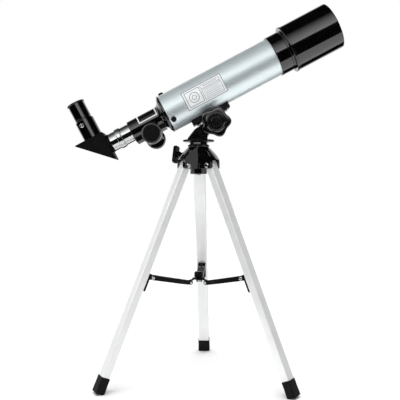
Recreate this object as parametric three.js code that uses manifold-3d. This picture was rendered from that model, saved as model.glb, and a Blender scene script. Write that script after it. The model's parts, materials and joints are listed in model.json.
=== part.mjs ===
// A small refracting telescope on a folding table tripod. Millimetres, +Z up.
// +X is the horizontal direction in which the tube points, and the tripod stands on z = 0.
import * as THREE from 'three';
import { mergeVertices } from 'three/addons/utils/BufferGeometryUtils.js';
import Module from 'manifold-3d';

const wasm = await Module();
wasm.setup();

// ---------------------------------------------------------------- driving dimensions
const GAP = 0.3;                 // running gap between neighbouring pieces
const DEG = Math.PI / 180;

// Sides of a round shape: tubes, knobs, bolts and small screws.
const WIDE = 28;
const MEDIUM = 20;
const NARROW = 10;
const TINY = 8;

// The optical tube's own frame: x along the axis from the back plate to the front, z up.
const TUBE_ALTITUDE = 27.75;     // degrees above the horizon
const TUBE_R = 28;
const TUBE_WALL = 1.3;
const TUBE_END = 187.5;          // front end, inside the objective cell
const CELL_START = 175.3;
const CELL_R = 29.75;
const SEAT = 193;                // rear face of the lens pocket
const LENS_R = 25.1;
const HOOD_START = 197.5;
const HOOD_END = 272;
const HOOD_R = 34;
const HOOD_BORE = 31.8;
const BAFFLE_AT = 96;
const BAFFLE_STOP = 19;

// The focuser at the back of the tube, rolled slightly about the tube's axis.
const FOCUSER_ROLL = -6;
const PLATE_R = 28.5;
const PLATE_T = 2.5;
const BODY_R = 16;
const BODY_END = -57;
const DRAW_R = 13.5;
const DRAW_BORE = 12.2;
const DRAW_END = -89.7;
const DRAW_FRONT = 22;
const GEAR_MODULE = 0.8;
const GEAR_TEETH = 12;
const GEAR_R = GEAR_MODULE * GEAR_TEETH / 2;
const PINION_X = -31;
const PINION_Z = -21;
const PINION_HALF = 4.2;         // half of the gear's face width
const KNOB_R = 14.5;
const KNOB_IN = 17;
const KNOB_OUT = 27.5;
const CLAMP_X = -75;
const CLAMP_R = 15;
const SCREW_X = 6;               // the screws that hold the back plate in the tube
const SCREW_ANGLES = [127.5, 247.5, 7.5];
const SCREW_HEAD_R = 3.9;

// The right-angle diagonal and the eyepiece, about the fold point of the optical axis.
const FOLD_X = -110;
const DIAG_HALF_Y = 14.25;
const DIAG_FRONT = 16.5;         // from the fold point to the face at the drawtube
const DIAG_TOP = 19;             // from the fold point to the face under the holder
const DIAG_BACK = 10;            // the sloping back face: x + z = -DIAG_BACK
const LIGHT_R = 10.5;
const HOLDER_R = 14;
const HOLDER_TOP = 47.4;
const HOLDER_BORE = 12.5;
const EYEPIECE_TOP = 75;
const EYEPIECE_R = 12.4;

// The saddle under the tube, with the altitude axis through its lug.
const SADDLE = { start: 27, end: 86.5, half: 10, foot: -35 };
const ALT_X = 57.15;
const ALT_Z = -46;
const LUG_R = 9;

// The mount. Its azimuth axis is x = y = 0 here.
const ALT_AXIS_X = 24.9;
const ALT_AXIS_Z = 372.4;
const CHEEK_IN = 10.4;
const CHEEK_OUT = 14.5;
const CHEEK_R = 12;
const DISC_R = 22.8;
const DISC_Z = 346.2;
const DISC_T = 2.3;
const FORK_FLOOR = 355;          // floor of the slot between the cheeks
const ALT_BOLT_R = 3;
const AZIMUTH_BOLT_R = 3.2;
const NUT_R = 6.6;               // across its corners, from the axis
const STAR_R = 21.9;
const STAR_DEPTH = 1.85;         // half the difference between its lobes and hollows
const STAR_LOBES = 5;
const STAR_TURN = 4;             // degrees from level to the first lobe

// The tripod.
const LEG_AZIMUTHS = { rear: 87, left: 207, right: 327 };
const SPREAD = 22.8;             // a leg's angle from the vertical when open
const PIN_R = 22;                // radius of the circle that the leg pins lie on
const PIN_Z = 311;
const CROWN_TOP = 345.9;
const CROWN_FOOT = 299;          // underside of the block round the azimuth bolt
const LOBE_HALF = 12.4;          // half width of a lobe between its upright walls
const LIP = 1;                   // how far the dome stands out over those walls
const DOME = [[308, 31], [314, 31.2], [318, 30.9], [321, 30.1], [324.4, 28.2], [327.4, 25.9],
  [330.8, 22.8], [334.4, 19.4], [336.8, 16.8], [338.4, 15.2]];  // [height, radius]
const LEG_W = 17;
const LEG_T = 11;
const LEG_WALL = 1.2;
const BOOT = { w: 19, t: 13, height: 23, floor: 3, sunk: 1.5 };
const LOCK_AZIMUTH = 152;
const LOCK_Z = 328.5;
const LOCK_R = 38.6;
const LOCK_LEAN = 13;

// The spreader.
const OUTER_S = 165.6;           // from the leg pin down the leg to the outer pivot
const OUTER_IN = 13.7;           // from the leg's centreline inward to the outer pivot
const HUB_PIVOT_R = 13.5;
const HUB_Z = 141.5;
const ARM_W = 10.6;
const ARM_H = 7;
const ARM_WALL = 1.2;
const TAB_HALF = 1.5;
const BRACKET_HALF = 6;          // half width of a bracket's plate on its leg
const BRACKET_T = 3.6;
const NECK_HALF = 3.6;           // half width of an arm where it goes in between the others

// ---------------------------------------------------------------- materials
const finish = (color, roughness, metalness) =>
  new THREE.MeshStandardMaterial({ color, roughness, metalness });
const MATERIALS = {
  tube: finish(0x9db7c6, 0.32, 0.7),
  gloss: finish(0x0b0b0d, 0.18, 0),
  satin: finish(0x121214, 0.45, 0),
  chrome: finish(0xd8dadd, 0.12, 1),
  aluminium: finish(0xd9dbde, 0.4, 0.85),
  rubber: finish(0x141414, 0.75, 0),
  steel: finish(0x8d9094, 0.35, 0.9),
  brass: finish(0xb5924c, 0.35, 0.9),
  glass: finish(0xcfe0ea, 0.03, 0),
  mirror: finish(0xf0f2f4, 0.03, 1),
};

// ---------------------------------------------------------------- geometry helpers
// Rows that send a geometry's own (a, b, c) to the part's x, y and z.
const FRAMES = {
  x: new THREE.Matrix4().set(0, 1, 0, 0, 1, 0, 0, 0, 0, 0, 1, 0, 0, 0, 0, 1),
  y: new THREE.Matrix4().set(1, 0, 0, 0, 0, 1, 0, 0, 0, 0, 1, 0, 0, 0, 0, 1),
  z: new THREE.Matrix4().set(1, 0, 0, 0, 0, 0, 1, 0, 0, 1, 0, 0, 0, 0, 0, 1),
};
const PLANES = {
  xy: new THREE.Matrix4(),
  xz: new THREE.Matrix4().set(1, 0, 0, 0, 0, 0, 1, 0, 0, 1, 0, 0, 0, 0, 0, 1),
  yz: new THREE.Matrix4().set(0, 0, 1, 0, 1, 0, 0, 0, 0, 1, 0, 0, 0, 0, 0, 1),
};

function signedVolume(geometry) {
  const p = geometry.attributes.position;
  const index = geometry.index;
  const [a, b, c] = [new THREE.Vector3(), new THREE.Vector3(), new THREE.Vector3()];
  let sum = 0;
  for (let i = 0; i < index.count; i += 3) {
    a.fromBufferAttribute(p, index.getX(i));
    b.fromBufferAttribute(p, index.getX(i + 1));
    c.fromBufferAttribute(p, index.getX(i + 2));
    sum += a.dot(b.cross(c)) / 6;
  }
  return sum;
}

// Keeps only positions, merges shared vertices and turns the faces outward.
function closed(geometry) {
  geometry.deleteAttribute('normal');
  geometry.deleteAttribute('uv');
  const merged = mergeVertices(geometry, 1e-4);
  const corners = [];
  const index = merged.index;
  for (let i = 0; i < index.count; i += 3) {
    const [a, b, c] = [index.getX(i), index.getX(i + 1), index.getX(i + 2)];
    if (a !== b && b !== c && c !== a) corners.push(a, b, c);
  }
  merged.setIndex(corners);
  if (signedVolume(merged) < 0) {
    for (let i = 0; i < corners.length; i += 3) {
      [corners[i], corners[i + 1]] = [corners[i + 1], corners[i]];
    }
    merged.setIndex(corners);
  }
  return merged;
}

// A body of revolution about one axis, from [place along the axis, radius] pairs.
function turned(axis, profile, segments = MEDIUM) {
  const points = profile.map(([along, r]) => new THREE.Vector2(Math.max(r, 0), along));
  const last = profile.length - 1;
  if (profile[0][1] > 0 || profile[last][1] > 0) points.push(points[0].clone());
  const geometry = new THREE.LatheGeometry(points, segments);
  return closed(geometry.applyMatrix4(FRAMES[axis]));
}

// A plain cylinder on an axis.
function rod(axis, from, to, r, segments = NARROW) {
  return turned(axis, [[from, 0], [from, r], [to, r], [to, 0]], segments);
}

// A straight extrusion of an outline of [u, v] points, square to the named plane.
function prism(plane, outline, from, to) {
  const shape = new THREE.Shape(outline.map(([u, v]) => new THREE.Vector2(u, v)));
  const geometry = new THREE.ExtrudeGeometry(shape, { depth: to - from, bevelEnabled: false });
  geometry.translate(0, 0, from);
  return closed(geometry.applyMatrix4(PLANES[plane]));
}

function block(x0, x1, y0, y1, z0, z1) {
  const geometry = new THREE.BoxGeometry(x1 - x0, y1 - y0, z1 - z0);
  return closed(geometry.translate((x0 + x1) / 2, (y0 + y1) / 2, (z0 + z1) / 2));
}

function arc(u, v, r, from, to, steps) {
  return Array.from({ length: steps + 1 }, (_, i) => {
    const angle = (from + (to - from) * i / steps) * DEG;
    return [u + r * Math.cos(angle), v + r * Math.sin(angle)];
  });
}

// A rectangle with rounded corners, centred on the origin.
function roundedRectangle(w, h, r, steps = 2) {
  const [u, v] = [w / 2 - r, h / 2 - r];
  return [
    ...arc(u, v, r, 0, 90, steps), ...arc(-u, v, r, 90, 180, steps),
    ...arc(-u, -v, r, 180, 270, steps), ...arc(u, -v, r, 270, 360, steps),
  ];
}

function moved(geometry, x, y, z) {
  return geometry.clone().translate(x, y, z);
}

function spun(geometry, axis, degrees) {
  const matrix = new THREE.Matrix4().makeRotationAxis(axis, degrees * DEG);
  return geometry.clone().applyMatrix4(matrix);
}
const X = new THREE.Vector3(1, 0, 0);
const Y = new THREE.Vector3(0, 1, 0);
const Z = new THREE.Vector3(0, 0, 1);

function toSolid(geometry) {
  const vertProperties = new Float32Array(geometry.attributes.position.array);
  const triVerts = new Uint32Array(geometry.index.array);
  return new wasm.Manifold(new wasm.Mesh({ numProp: 3, vertProperties, triVerts }));
}

function fromSolid(solid) {
  const mesh = solid.getMesh();
  const geometry = new THREE.BufferGeometry();
  geometry.setAttribute('position', new THREE.BufferAttribute(mesh.vertProperties, 3));
  geometry.setIndex(new THREE.BufferAttribute(mesh.triVerts, 1));
  return geometry;
}

const join = (first, ...rest) =>
  fromSolid(rest.reduce((sum, g) => sum.add(toSolid(g)), toSolid(first)));
const cut = (first, ...rest) =>
  fromSolid(rest.reduce((sum, g) => sum.subtract(toSolid(g)), toSolid(first)));
const common = (first, second) => fromSolid(toSolid(first).intersect(toSolid(second)));

function piece(parent, name, material, geometry) {
  geometry.computeVertexNormals();
  const mesh = new THREE.Mesh(geometry, MATERIALS[material]);
  mesh.name = name;
  parent.add(mesh);
  return mesh;
}

// ---------------------------------------------------------------- optical tube
// A round-head screw on a radius: head outside, shank inward along -z before it is turned.
function radialScrew(headR, headFrom, headTo, shankR, shankTo) {
  return turned('z', [[shankTo, 0], [shankTo, shankR], [headFrom, shankR], [headFrom, headR],
    [headTo - 0.8, headR], [headTo, headR * 0.6], [headTo, 0]], NARROW);
}

// Turns something that lies on +z by an angle from the top towards the near side (-y).
const aroundTube = (geometry, angle) => spun(geometry, X, angle);

function mainTube(ota) {
  let tube = turned('x', [[GAP, TUBE_R], [TUBE_END, TUBE_R], [TUBE_END, TUBE_R - TUBE_WALL],
    [GAP, TUBE_R - TUBE_WALL]], WIDE);
  const plateHole = moved(rod('z', 22, 32, 1.6, TINY), SCREW_X, 0, 0);
  const holes = SCREW_ANGLES.map((a) => spun(aroundTube(plateHole, a), X, FOCUSER_ROLL));
  const saddleHoles = saddleScrewPlaces().map((x) => moved(rod('z', -32, -22, 1.9, TINY), x, 0, 0));
  tube = cut(tube, ...holes, ...saddleHoles);
  piece(ota, 'main_tube', 'tube', tube);
  piece(ota, 'tube_baffle', 'satin', turned('x', [
    [BAFFLE_AT, BAFFLE_STOP], [BAFFLE_AT, 26.4], [BAFFLE_AT + 8, 26.4], [BAFFLE_AT + 8, 25.2],
    [BAFFLE_AT + 1.2, 25.2], [BAFFLE_AT + 1.2, BAFFLE_STOP]], MEDIUM));
}

function objective(ota) {
  piece(ota, 'objective_cell', 'gloss', turned('x', [
    [CELL_START, 28.3], [CELL_START, CELL_R], [HOOD_START - GAP, CELL_R],
    [HOOD_START - GAP, 29.4], [212, 29.4], [212, 25.4], [SEAT, 25.4], [SEAT, 23.5],
    [TUBE_END + 0.4, 23.5], [TUBE_END + 0.4, 28.3]], WIDE));
  const bulge = (edge, depth, steps = 3) => Array.from({ length: steps + 1 }, (_, i) => {
    const r = LENS_R * i / steps;
    return [edge + depth * (1 - (i / steps) ** 2), r];
  });
  const flint = [[SEAT + GAP, 0], [SEAT + GAP, LENS_R], ...bulge(198, -1.5).reverse()];
  const crown = [...bulge(198.3, -1.5), ...bulge(202.3, 2.2).reverse()];
  piece(ota, 'flint_lens', 'glass', turned('x', flint));
  piece(ota, 'crown_lens', 'glass', turned('x', crown));
  piece(ota, 'lens_retaining_ring', 'satin', turned('x', [[202.9, 23.6], [202.9, LENS_R],
    [207, LENS_R], [207, 24.4]]));
}

function dewShield(ota) {
  piece(ota, 'dew_shield', 'gloss', turned('x', [
    [HOOD_START, 29.7], [HOOD_START, 34.75], [HOOD_START + 2.7, 34.75], [HOOD_START + 3, HOOD_R],
    [HOOD_END - 0.7, HOOD_R], [HOOD_END, 33.3], [HOOD_END, HOOD_BORE], [HOOD_START + 4, HOOD_BORE],
    [HOOD_START + 4, 31], [HOOD_START + 12.5, 31], [HOOD_START + 12.5, 29.7]], WIDE));
}

// ---------------------------------------------------------------- focuser
function focuserHousing(focuser) {
  const shell = turned('x', [
    [BODY_END, DRAW_R + GAP], [BODY_END, BODY_R], [-14, BODY_R], [-8, 19], [-4, 25],
    [-PLATE_T, 26], [-PLATE_T, PLATE_R], [0, PLATE_R], [0, 26.4], [12, 26.4], [12, 24.4],
    [0.5, 24.4], [0.5, DRAW_R + GAP]], WIDE);
  const bore = rod('x', BODY_END - 5, 5, DRAW_R + GAP, WIDE);
  const rail = block(BODY_END + 0.5, -8, -11, 11, -19, -8);
  const gearbox = block(-42, -20, -10, 10, -27, -15);
  const chamber = block(-37.5, -24.5, -PINION_HALF - 0.4, PINION_HALF + 0.4, -30, -12);
  const groove = block(BODY_END - 1, 1, -3.3, 3.3, -17.4, -10);
  const shaftHole = moved(rod('y', -20, 20, 2.3), PINION_X, 0, PINION_Z);
  const screwHole = moved(rod('z', 20, 30, 1.6, TINY), SCREW_X, 0, 0);
  const screwHoles = SCREW_ANGLES.map((a) => aroundTube(screwHole, a));
  const coverHoles = [-40, -22].map((x) => moved(rod('z', -28, -23, 1.2, TINY), x, 0, 0));
  const body = cut(join(shell, rail, gearbox), bore, chamber, groove, shaftHole,
    ...screwHoles, ...coverHoles);
  piece(focuser, 'focuser_housing', 'gloss', body);
  piece(focuser, 'pinion_cover', 'gloss', join(block(-42, -20, -10, 10, -29, -27 - GAP),
    ...[-40, -22].map((x) => moved(rod('z', -28, -24, 0.9, TINY), x, 0, 0))));
  const screw = moved(radialScrew(SCREW_HEAD_R, TUBE_R + GAP, TUBE_R + 2.9, 1.3, 23.5),
    SCREW_X, 0, 0);
  SCREW_ANGLES.forEach((a, i) =>
    piece(focuser, `tube_screw_${i + 1}`, 'satin', aroundTube(screw, a)));
}

// One side of an involute tooth: [radius, half angle] from the root to the tip.
function toothFlank(root, tip, thinning) {
  const pressure = 20 * DEG;
  const base = GEAR_R * Math.cos(pressure);
  const involute = (a) => Math.tan(a) - a;
  const halfAtPitch = Math.PI / (2 * GEAR_TEETH) * thinning;
  const half = (r) => halfAtPitch + involute(pressure) - involute(Math.acos(Math.min(1, base / r)));
  return [root, base, GEAR_R, tip].map((r) => [r, half(Math.max(r, base))]);
}

function gearOutline() {
  const flank = toothFlank(GEAR_R - 1.05, GEAR_R + 0.72, 0.84);
  const outline = [];
  for (let i = 0; i < GEAR_TEETH; i += 1) {
    const middle = Math.PI / 2 + 2 * Math.PI * i / GEAR_TEETH;
    const place = (r, a) => [r * Math.cos(a), r * Math.sin(a)];
    flank.forEach(([r, half]) => outline.push(place(r, middle - half)));
    [...flank].reverse().forEach(([r, half]) => outline.push(place(r, middle + half)));
  }
  return outline;
}

function rackOutline() {
  const pitch = Math.PI * GEAR_MODULE;
  const line = PINION_Z + GEAR_R;
  const [start, end] = [-52, 6];
  const back = -DRAW_R - GAP;
  const root = line + 0.95;
  const tip = line - 0.72;
  const half = pitch / 4 * 0.84;
  const lean = Math.tan(20 * DEG);
  const outline = [[start, back], [start, root]];
  const first = Math.ceil((start + 1.2 - PINION_X) / pitch - 0.5);
  const last = Math.floor((end - 1.2 - PINION_X) / pitch - 0.5);
  for (let i = first; i <= last; i += 1) {
    const x = PINION_X + pitch * (i + 0.5);
    const atRoot = half + 0.95 * lean;
    const atTip = half - 0.72 * lean;
    outline.push([x - atRoot, root], [x - atTip, tip], [x + atTip, tip], [x + atRoot, root]);
  }
  outline.push([end, root], [end, back]);
  return outline;
}

function drawtube(focuser) {
  piece(focuser, 'drawtube', 'chrome', turned('x', [[DRAW_END, DRAW_BORE], [DRAW_END, DRAW_R],
    [DRAW_FRONT, DRAW_R], [DRAW_FRONT, DRAW_BORE]], WIDE));
  piece(focuser, 'focus_rack', 'brass', prism('xz', rackOutline(), -2.8, 2.8));
  const ring = turned('x', [[CLAMP_X - 4, DRAW_R + GAP], [CLAMP_X - 4, CLAMP_R - 0.6],
    [CLAMP_X - 3.4, CLAMP_R], [CLAMP_X + 3.4, CLAMP_R], [CLAMP_X + 4, CLAMP_R - 0.6],
    [CLAMP_X + 4, DRAW_R + GAP]], WIDE);
  const hole = moved(rod('y', -20, -10, 1.6, TINY), CLAMP_X, 0, 0);
  piece(focuser, 'drawtube_collar', 'chrome', cut(ring, hole));
  const screw = turned('y', [[-20, 0], [-20, 2.4], [-19.4, 3], [-CLAMP_R - 0.4, 3],
    [-CLAMP_R - 0.4, 1.3], [-DRAW_R - 0.5, 1.3], [-DRAW_R - 0.5, 0]], NARROW);
  piece(focuser, 'collar_thumbscrew', 'chrome', moved(screw, CLAMP_X, 0, 0));
}

function focusDrive(focuser) {
  const gear = prism('xz', gearOutline(), -PINION_HALF, PINION_HALF);
  const shaft = join(rod('y', -25, 25, 2), gear);
  piece(focuser, 'pinion_shaft', 'steel', moved(shaft, PINION_X, 0, PINION_Z));
  const knob = turned('y', [[12, 2.3], [12, 6], [KNOB_IN, 6.5], [KNOB_IN, KNOB_R - 0.6],
    [KNOB_IN + 0.8, KNOB_R], [KNOB_OUT - 1.6, KNOB_R], [KNOB_OUT, KNOB_R - 1.2],
    [KNOB_OUT, 12.3], [KNOB_OUT - 0.8, 12], [KNOB_OUT - 0.8, 0], [25.4, 0], [25.4, 2.3]]);
  piece(focuser, 'focus_knob_far', 'gloss', moved(knob, PINION_X, 0, PINION_Z));
  const near = moved(spun(knob, Z, 180), PINION_X, 0, PINION_Z);
  piece(focuser, 'focus_knob_near', 'gloss', near);
}

// ---------------------------------------------------------------- diagonal and eyepiece
function diagonal(ota) {
  const back = (x) => -DIAG_BACK - x;
  const wedge = prism('xz', [[DIAG_FRONT, DIAG_TOP - 1.5], [DIAG_FRONT - 1.5, DIAG_TOP],
    [back(DIAG_TOP) + 1, DIAG_TOP], [back(DIAG_TOP), DIAG_TOP - 1], [DIAG_FRONT - 1, back(DIAG_FRONT)],
    [DIAG_FRONT, back(DIAG_FRONT) + 1]], -DIAG_HALF_Y, DIAG_HALF_Y);
  const shoulder = rod('x', DIAG_FRONT - 1, 20, 13.8, MEDIUM);
  const nose = rod('x', DIAG_FRONT, 42, 11.9, MEDIUM);
  const holder = rod('z', DIAG_TOP - 1, HOLDER_TOP, HOLDER_R, MEDIUM);
  const light = cut(join(rod('x', -20, 50, LIGHT_R, MEDIUM), rod('z', -20, 50, LIGHT_R, MEDIUM)),
    prism('xz', [[-60, 60], [-60, -60], [60, -60]], -30, 30));
  const seat = mirrorPlate(0, 4.6, 13, 19.5);
  const socket = rod('z', DIAG_TOP + 1, 60, HOLDER_BORE, MEDIUM);
  const tapped = spun(moved(rod('y', -20, -8, 1.6, TINY), 0, 0, 39.5), Z, -16);
  const housing = cut(join(wedge, shoulder, nose, holder), light, seat, socket, tapped);
  piece(ota, 'diagonal_housing', 'satin', moved(housing, FOLD_X, 0, 0));
  piece(ota, 'diagonal_mirror', 'mirror', moved(mirrorPlate(GAP, 4.3, 12.7, 19.2), FOLD_X, 0, 0));
  const screw = turned('y', [[-18, 0], [-18, 2.7], [-17.4, 3.3], [-HOLDER_R - 0.4, 3.3],
    [-HOLDER_R - 0.4, 1.3], [-HOLDER_BORE - 0.1, 1.3], [-HOLDER_BORE - 0.1, 0]], NARROW);
  const turnedScrew = spun(moved(screw, 0, 0, 39.5), Z, -16);
  piece(ota, 'holder_thumbscrew', 'chrome', moved(turnedScrew, FOLD_X, 0, 0));
}

// A plate behind the 45 degree mirror plane, from one depth to another.
function mirrorPlate(front, back, halfY, halfLength) {
  return spun(block(-back, -front, -halfY, halfY, -halfLength, halfLength), Y, -45);
}

function eyepiece(ota) {
  const place = (geometry) => moved(geometry, FOLD_X, 0, 0);
  piece(ota, 'eyepiece_barrel', 'chrome', place(turned('z', [
    [24, 11.2], [24, 12.2], [HOLDER_TOP, 12.2], [HOLDER_TOP, 9], [55, 9], [55, 8.2],
    [46, 8.2], [46, 11.2]])));
  piece(ota, 'field_lens', 'glass', place(turned('z', [[38, 0], [38, 10.9], [40, 10.9],
    [41.3, 6], [41.8, 0]], NARROW)));
  piece(ota, 'eyepiece_body', 'gloss', place(turned('z', [
    [HOLDER_TOP + GAP, 9.3], [HOLDER_TOP + GAP, 11.6], [49.2, 11.6], [49.8, EYEPIECE_R],
    [73, EYEPIECE_R], [73.3, 13.5], [EYEPIECE_TOP, 13.5], [EYEPIECE_TOP, 9.5], [71, 6],
    [67, 6], [67, 7.3], [58, 7.3], [58, 9.3]])));
  piece(ota, 'eye_lens', 'glass', place(turned('z', [[62, 0], [62, 7], [65, 7], [66.3, 3.5],
    [66.7, 0]], NARROW)));
}

// ---------------------------------------------------------------- saddle
function saddleScrewPlaces() {
  return [SADDLE.start + 8, SADDLE.end - 8];
}

function saddle(ota) {
  const lug = arc(ALT_X, ALT_Z, LUG_R, 180, 360, 8);
  const outline = [[SADDLE.start, -22], [SADDLE.start, SADDLE.foot + 1],
    [SADDLE.start + 1, SADDLE.foot], [ALT_X - 16, SADDLE.foot], ...lug,
    [ALT_X + 16, SADDLE.foot], [SADDLE.end - 1, SADDLE.foot], [SADDLE.end, SADDLE.foot + 1],
    [SADDLE.end, -22]];
  const bar = prism('xz', outline, -SADDLE.half, SADDLE.half);
  const bed = rod('x', 0, 120, TUBE_R + GAP, WIDE);
  const boltHole = moved(rod('y', -20, 20, ALT_BOLT_R + GAP), ALT_X, 0, ALT_Z);
  const holes = saddleScrewPlaces().map((x) => moved(rod('z', -40, -20, 1.9, TINY), x, 0, 0));
  piece(ota, 'saddle', 'satin', cut(bar, bed, boltHole, ...holes));
  saddleScrewPlaces().forEach((x, i) => {
    const screw = turned('z', [[-37.4, 0], [-37.4, 2.6], [-36.6, 3.4], [SADDLE.foot - GAP, 3.4],
      [SADDLE.foot - GAP, 1.5], [-25, 1.5], [-25, 0]], NARROW);
    piece(ota, `saddle_screw_${i + 1}`, 'steel', moved(screw, x, 0, 0));
  });
}

// ---------------------------------------------------------------- mount
function fork(mount) {
  const base = DISC_Z + DISC_T + GAP;
  const outline = [[-16.5, base], [13, base], [13.4, 354.5], [16, 358.5], [21, 361.5],
    ...arc(ALT_AXIS_X, ALT_AXIS_Z, CHEEK_R, -70, 130, 10), [5.2, 371], [0.5, 367.2],
    [-5.4, 363.2], [-11.6, 355.4]];
  const solid = prism('xz', outline, -CHEEK_OUT, CHEEK_OUT);
  const slot = block(-30, 50, -CHEEK_IN, CHEEK_IN, FORK_FLOOR, 400);
  const boltHole = rod('z', 340, 360, AZIMUTH_BOLT_R + GAP);
  const axle = moved(rod('y', -20, 20, ALT_BOLT_R + GAP), ALT_AXIS_X, 0, ALT_AXIS_Z);
  piece(mount, 'fork', 'gloss', cut(solid, slot, boltHole, axle));
  piece(mount, 'azimuth_disc', 'satin', turned('z', [[DISC_Z, AZIMUTH_BOLT_R + GAP],
    [DISC_Z, DISC_R], [DISC_Z + DISC_T, DISC_R], [DISC_Z + DISC_T, AZIMUTH_BOLT_R + GAP]], WIDE));
  const head = prism('xy', arc(0, 0, 6.5, 0, 300, 5), FORK_FLOOR + GAP, FORK_FLOOR + 4);
  piece(mount, 'azimuth_bolt', 'steel',
    join(head, rod('z', CROWN_FOOT - 1.2, FORK_FLOOR + 1, AZIMUTH_BOLT_R)));
  const nut = prism('xy', arc(0, 0, NUT_R, 0, 300, 5), CROWN_FOOT + 0.6, CROWN_FOOT + 5);
  const threads = rod('z', 290, 310, AZIMUTH_BOLT_R + GAP);
  piece(mount, 'azimuth_nut', 'steel', cut(nut, threads));
}

function altitudeClamp(mount) {
  const y = CHEEK_OUT + GAP;
  const at = (geometry) => moved(geometry, ALT_AXIS_X, 0, ALT_AXIS_Z);
  const head = prism('xz', arc(0, 0, 6.4, 0, 300, 5), y, y + 4.5);
  piece(mount, 'altitude_bolt', 'steel', at(join(head, rod('y', -24, y + 1, ALT_BOLT_R))));
  piece(mount, 'altitude_knob', 'gloss', at(starKnob(-y)));
}

// The star knob's outline: a slow wave with one crest for each lobe.
function starOutline(steps = 50) {
  return Array.from({ length: steps }, (_, i) => {
    const angle = 2 * Math.PI * i / steps;
    const r = STAR_R - STAR_DEPTH + STAR_DEPTH * Math.cos(STAR_LOBES * angle);
    const place = angle + STAR_TURN * DEG;
    return [r * Math.cos(place), r * Math.sin(place)];
  });
}

function starKnob(y) {
  const lobes = prism('xz', starOutline(), y - 12, y - 2.6);
  const boss = turned('y', [[y, 0], [y, 9], [y - 2.8, 11], [y - 11, 13.3], [y - 13.6, 13.3],
    [y - 14.4, 12.4], [y - 14.4, 10.4], [y - 12.6, 9.6], [y - 12.6, 0]]);
  return cut(join(lobes, boss), rod('y', y - 10, y + 5, ALT_BOLT_R + GAP));
}

// ---------------------------------------------------------------- tripod crown
// A dome over three lobes with upright walls, whose rim stands out over the walls as a lip. Each
// lobe is forked by a slot for its leg, and a round block below holds the azimuth bolt and nut.
function crown(tripod) {
  const azimuths = Object.values(LEG_AZIMUTHS);
  const around = (geometry) => azimuths.map((a) => spun(geometry, Z, a));
  const lobes = (half) => join(...around(block(0, 60, -half, half, 295, 360)));
  const [foot, apex] = [DOME[0][0], DOME[DOME.length - 1][0]];
  const dome = turned('z', [[foot, 0], ...DOME, [apex, 0]], WIDE);
  const under = DOME.map(([z, r]) => [z - 1.2, r - 1.6]);
  const hollow = turned('z', [[foot - 2, 0], [foot - 2, DOME[0][1] - 1.6], ...under, [apex - 1.2, 0]],
    WIDE);
  const lip = cut(common(dome, lobes(LOBE_HALF + LIP)), hollow);
  const body = common(dome, lobes(LOBE_HALF));
  const ears = around(prism('xz', [[8, 308], [9.5, 306.5], [26.5, 306.5], [28.8, 308.8], [28.8, 316],
    [8, 316]], -LOBE_HALF, LOBE_HALF));
  const boss = turned('z', [[330, 0], [330, 13], [apex + 0.4, 15.4], [apex + 1, 16], [341, 16],
    [341.6, 15.4], [342, 13.4], [CROWN_TOP, 13], [CROWN_TOP, 0]], WIDE);
  const slots = around(block(13.3, 60, -LEG_W / 2 - 0.4, LEG_W / 2 + 0.4, 290, 319.6));
  const pins = around(moved(rod('y', -30, 30, 2.5, TINY), PIN_R, 0, PIN_Z));
  const shaft = rod('z', 290, 360, AZIMUTH_BOLT_R + GAP);
  const nutPocket = rod('z', 290, CROWN_FOOT + 5.4, NUT_R + 2 * GAP, MEDIUM);
  const lock = spun(moved(rod('x', 0, 40, 2.8), 0, 0, LOCK_Z), Z, LOCK_AZIMUTH);
  const solid = cut(join(body, lip, boss, rod('z', CROWN_FOOT, 310, 12.5, MEDIUM), ...ears),
    ...slots, ...pins, shaft, nutPocket, lock);
  piece(tripod, 'crown', 'gloss', solid);
  const wing = prism('yz', roundedRectangle(12, 26, 3.2, 3), LOCK_R - 2.6, LOCK_R + 2.6);
  const stem = rod('x', AZIMUTH_BOLT_R + 1, LOCK_R, 2.5);
  const collar = rod('x', LOCK_R - 8, LOCK_R, 4.2);
  const lockScrew = moved(spun(join(wing, stem, collar), X, LOCK_LEAN), 0, 0, LOCK_Z);
  piece(tripod, 'azimuth_lock_screw', 'satin', spun(lockScrew, Z, LOCK_AZIMUTH));
}

// ---------------------------------------------------------------- one leg
// A leg's own frame: pin at the origin, x outward, y along the pin, z up the leg.
function legFrame(tripod, azimuth) {
  const turn = new THREE.Group();
  turn.rotation.z = azimuth * DEG;
  tripod.add(turn);
  const leg = new THREE.Group();
  leg.position.set(PIN_R, 0, PIN_Z);
  leg.rotation.y = -SPREAD * DEG;
  turn.add(leg);
  return leg;
}

// From the pin down the leg to the middle of the boot's underside, so that the boot's inner
// edge would lie BOOT.sunk under the floor before it is cut flat.
function bootBottom() {
  const drop = PIN_Z + BOOT.sunk - BOOT.t / 2 * Math.sin(SPREAD * DEG);
  return drop / Math.cos(SPREAD * DEG);
}

function legTube(leg, name) {
  const end = -bootBottom() + BOOT.floor + GAP;
  const outside = prism('xy', roundedRectangle(LEG_T, LEG_W, 1.6), end, 5.8);
  const inside = prism('xy', roundedRectangle(LEG_T - 2 * LEG_WALL, LEG_W - 2 * LEG_WALL, 0.8),
    end - 5, 10);
  piece(leg, `leg_${name}`, 'aluminium', cut(outside, inside, rod('y', -20, 20, 2.5, TINY)));
}

function boot(leg, name) {
  const bottom = -bootBottom();
  const outside = prism('xy', roundedRectangle(BOOT.t, BOOT.w, 2.2), bottom, bottom + BOOT.height);
  const inside = prism('xy', roundedRectangle(LEG_T + 2 * GAP, LEG_W + 2 * GAP, 1.7),
    bottom + BOOT.floor, bottom + 40);
  const floor = spun(block(-400, 400, -400, 400, -400, 0), Y, SPREAD);
  const drop = new THREE.Vector3(0, 0, -PIN_Z).applyAxisAngle(Y, SPREAD * DEG);
  const ground = moved(floor, drop.x, drop.y, drop.z);
  piece(leg, `boot_${name}`, 'rubber', cut(outside, inside, ground));
}

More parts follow.
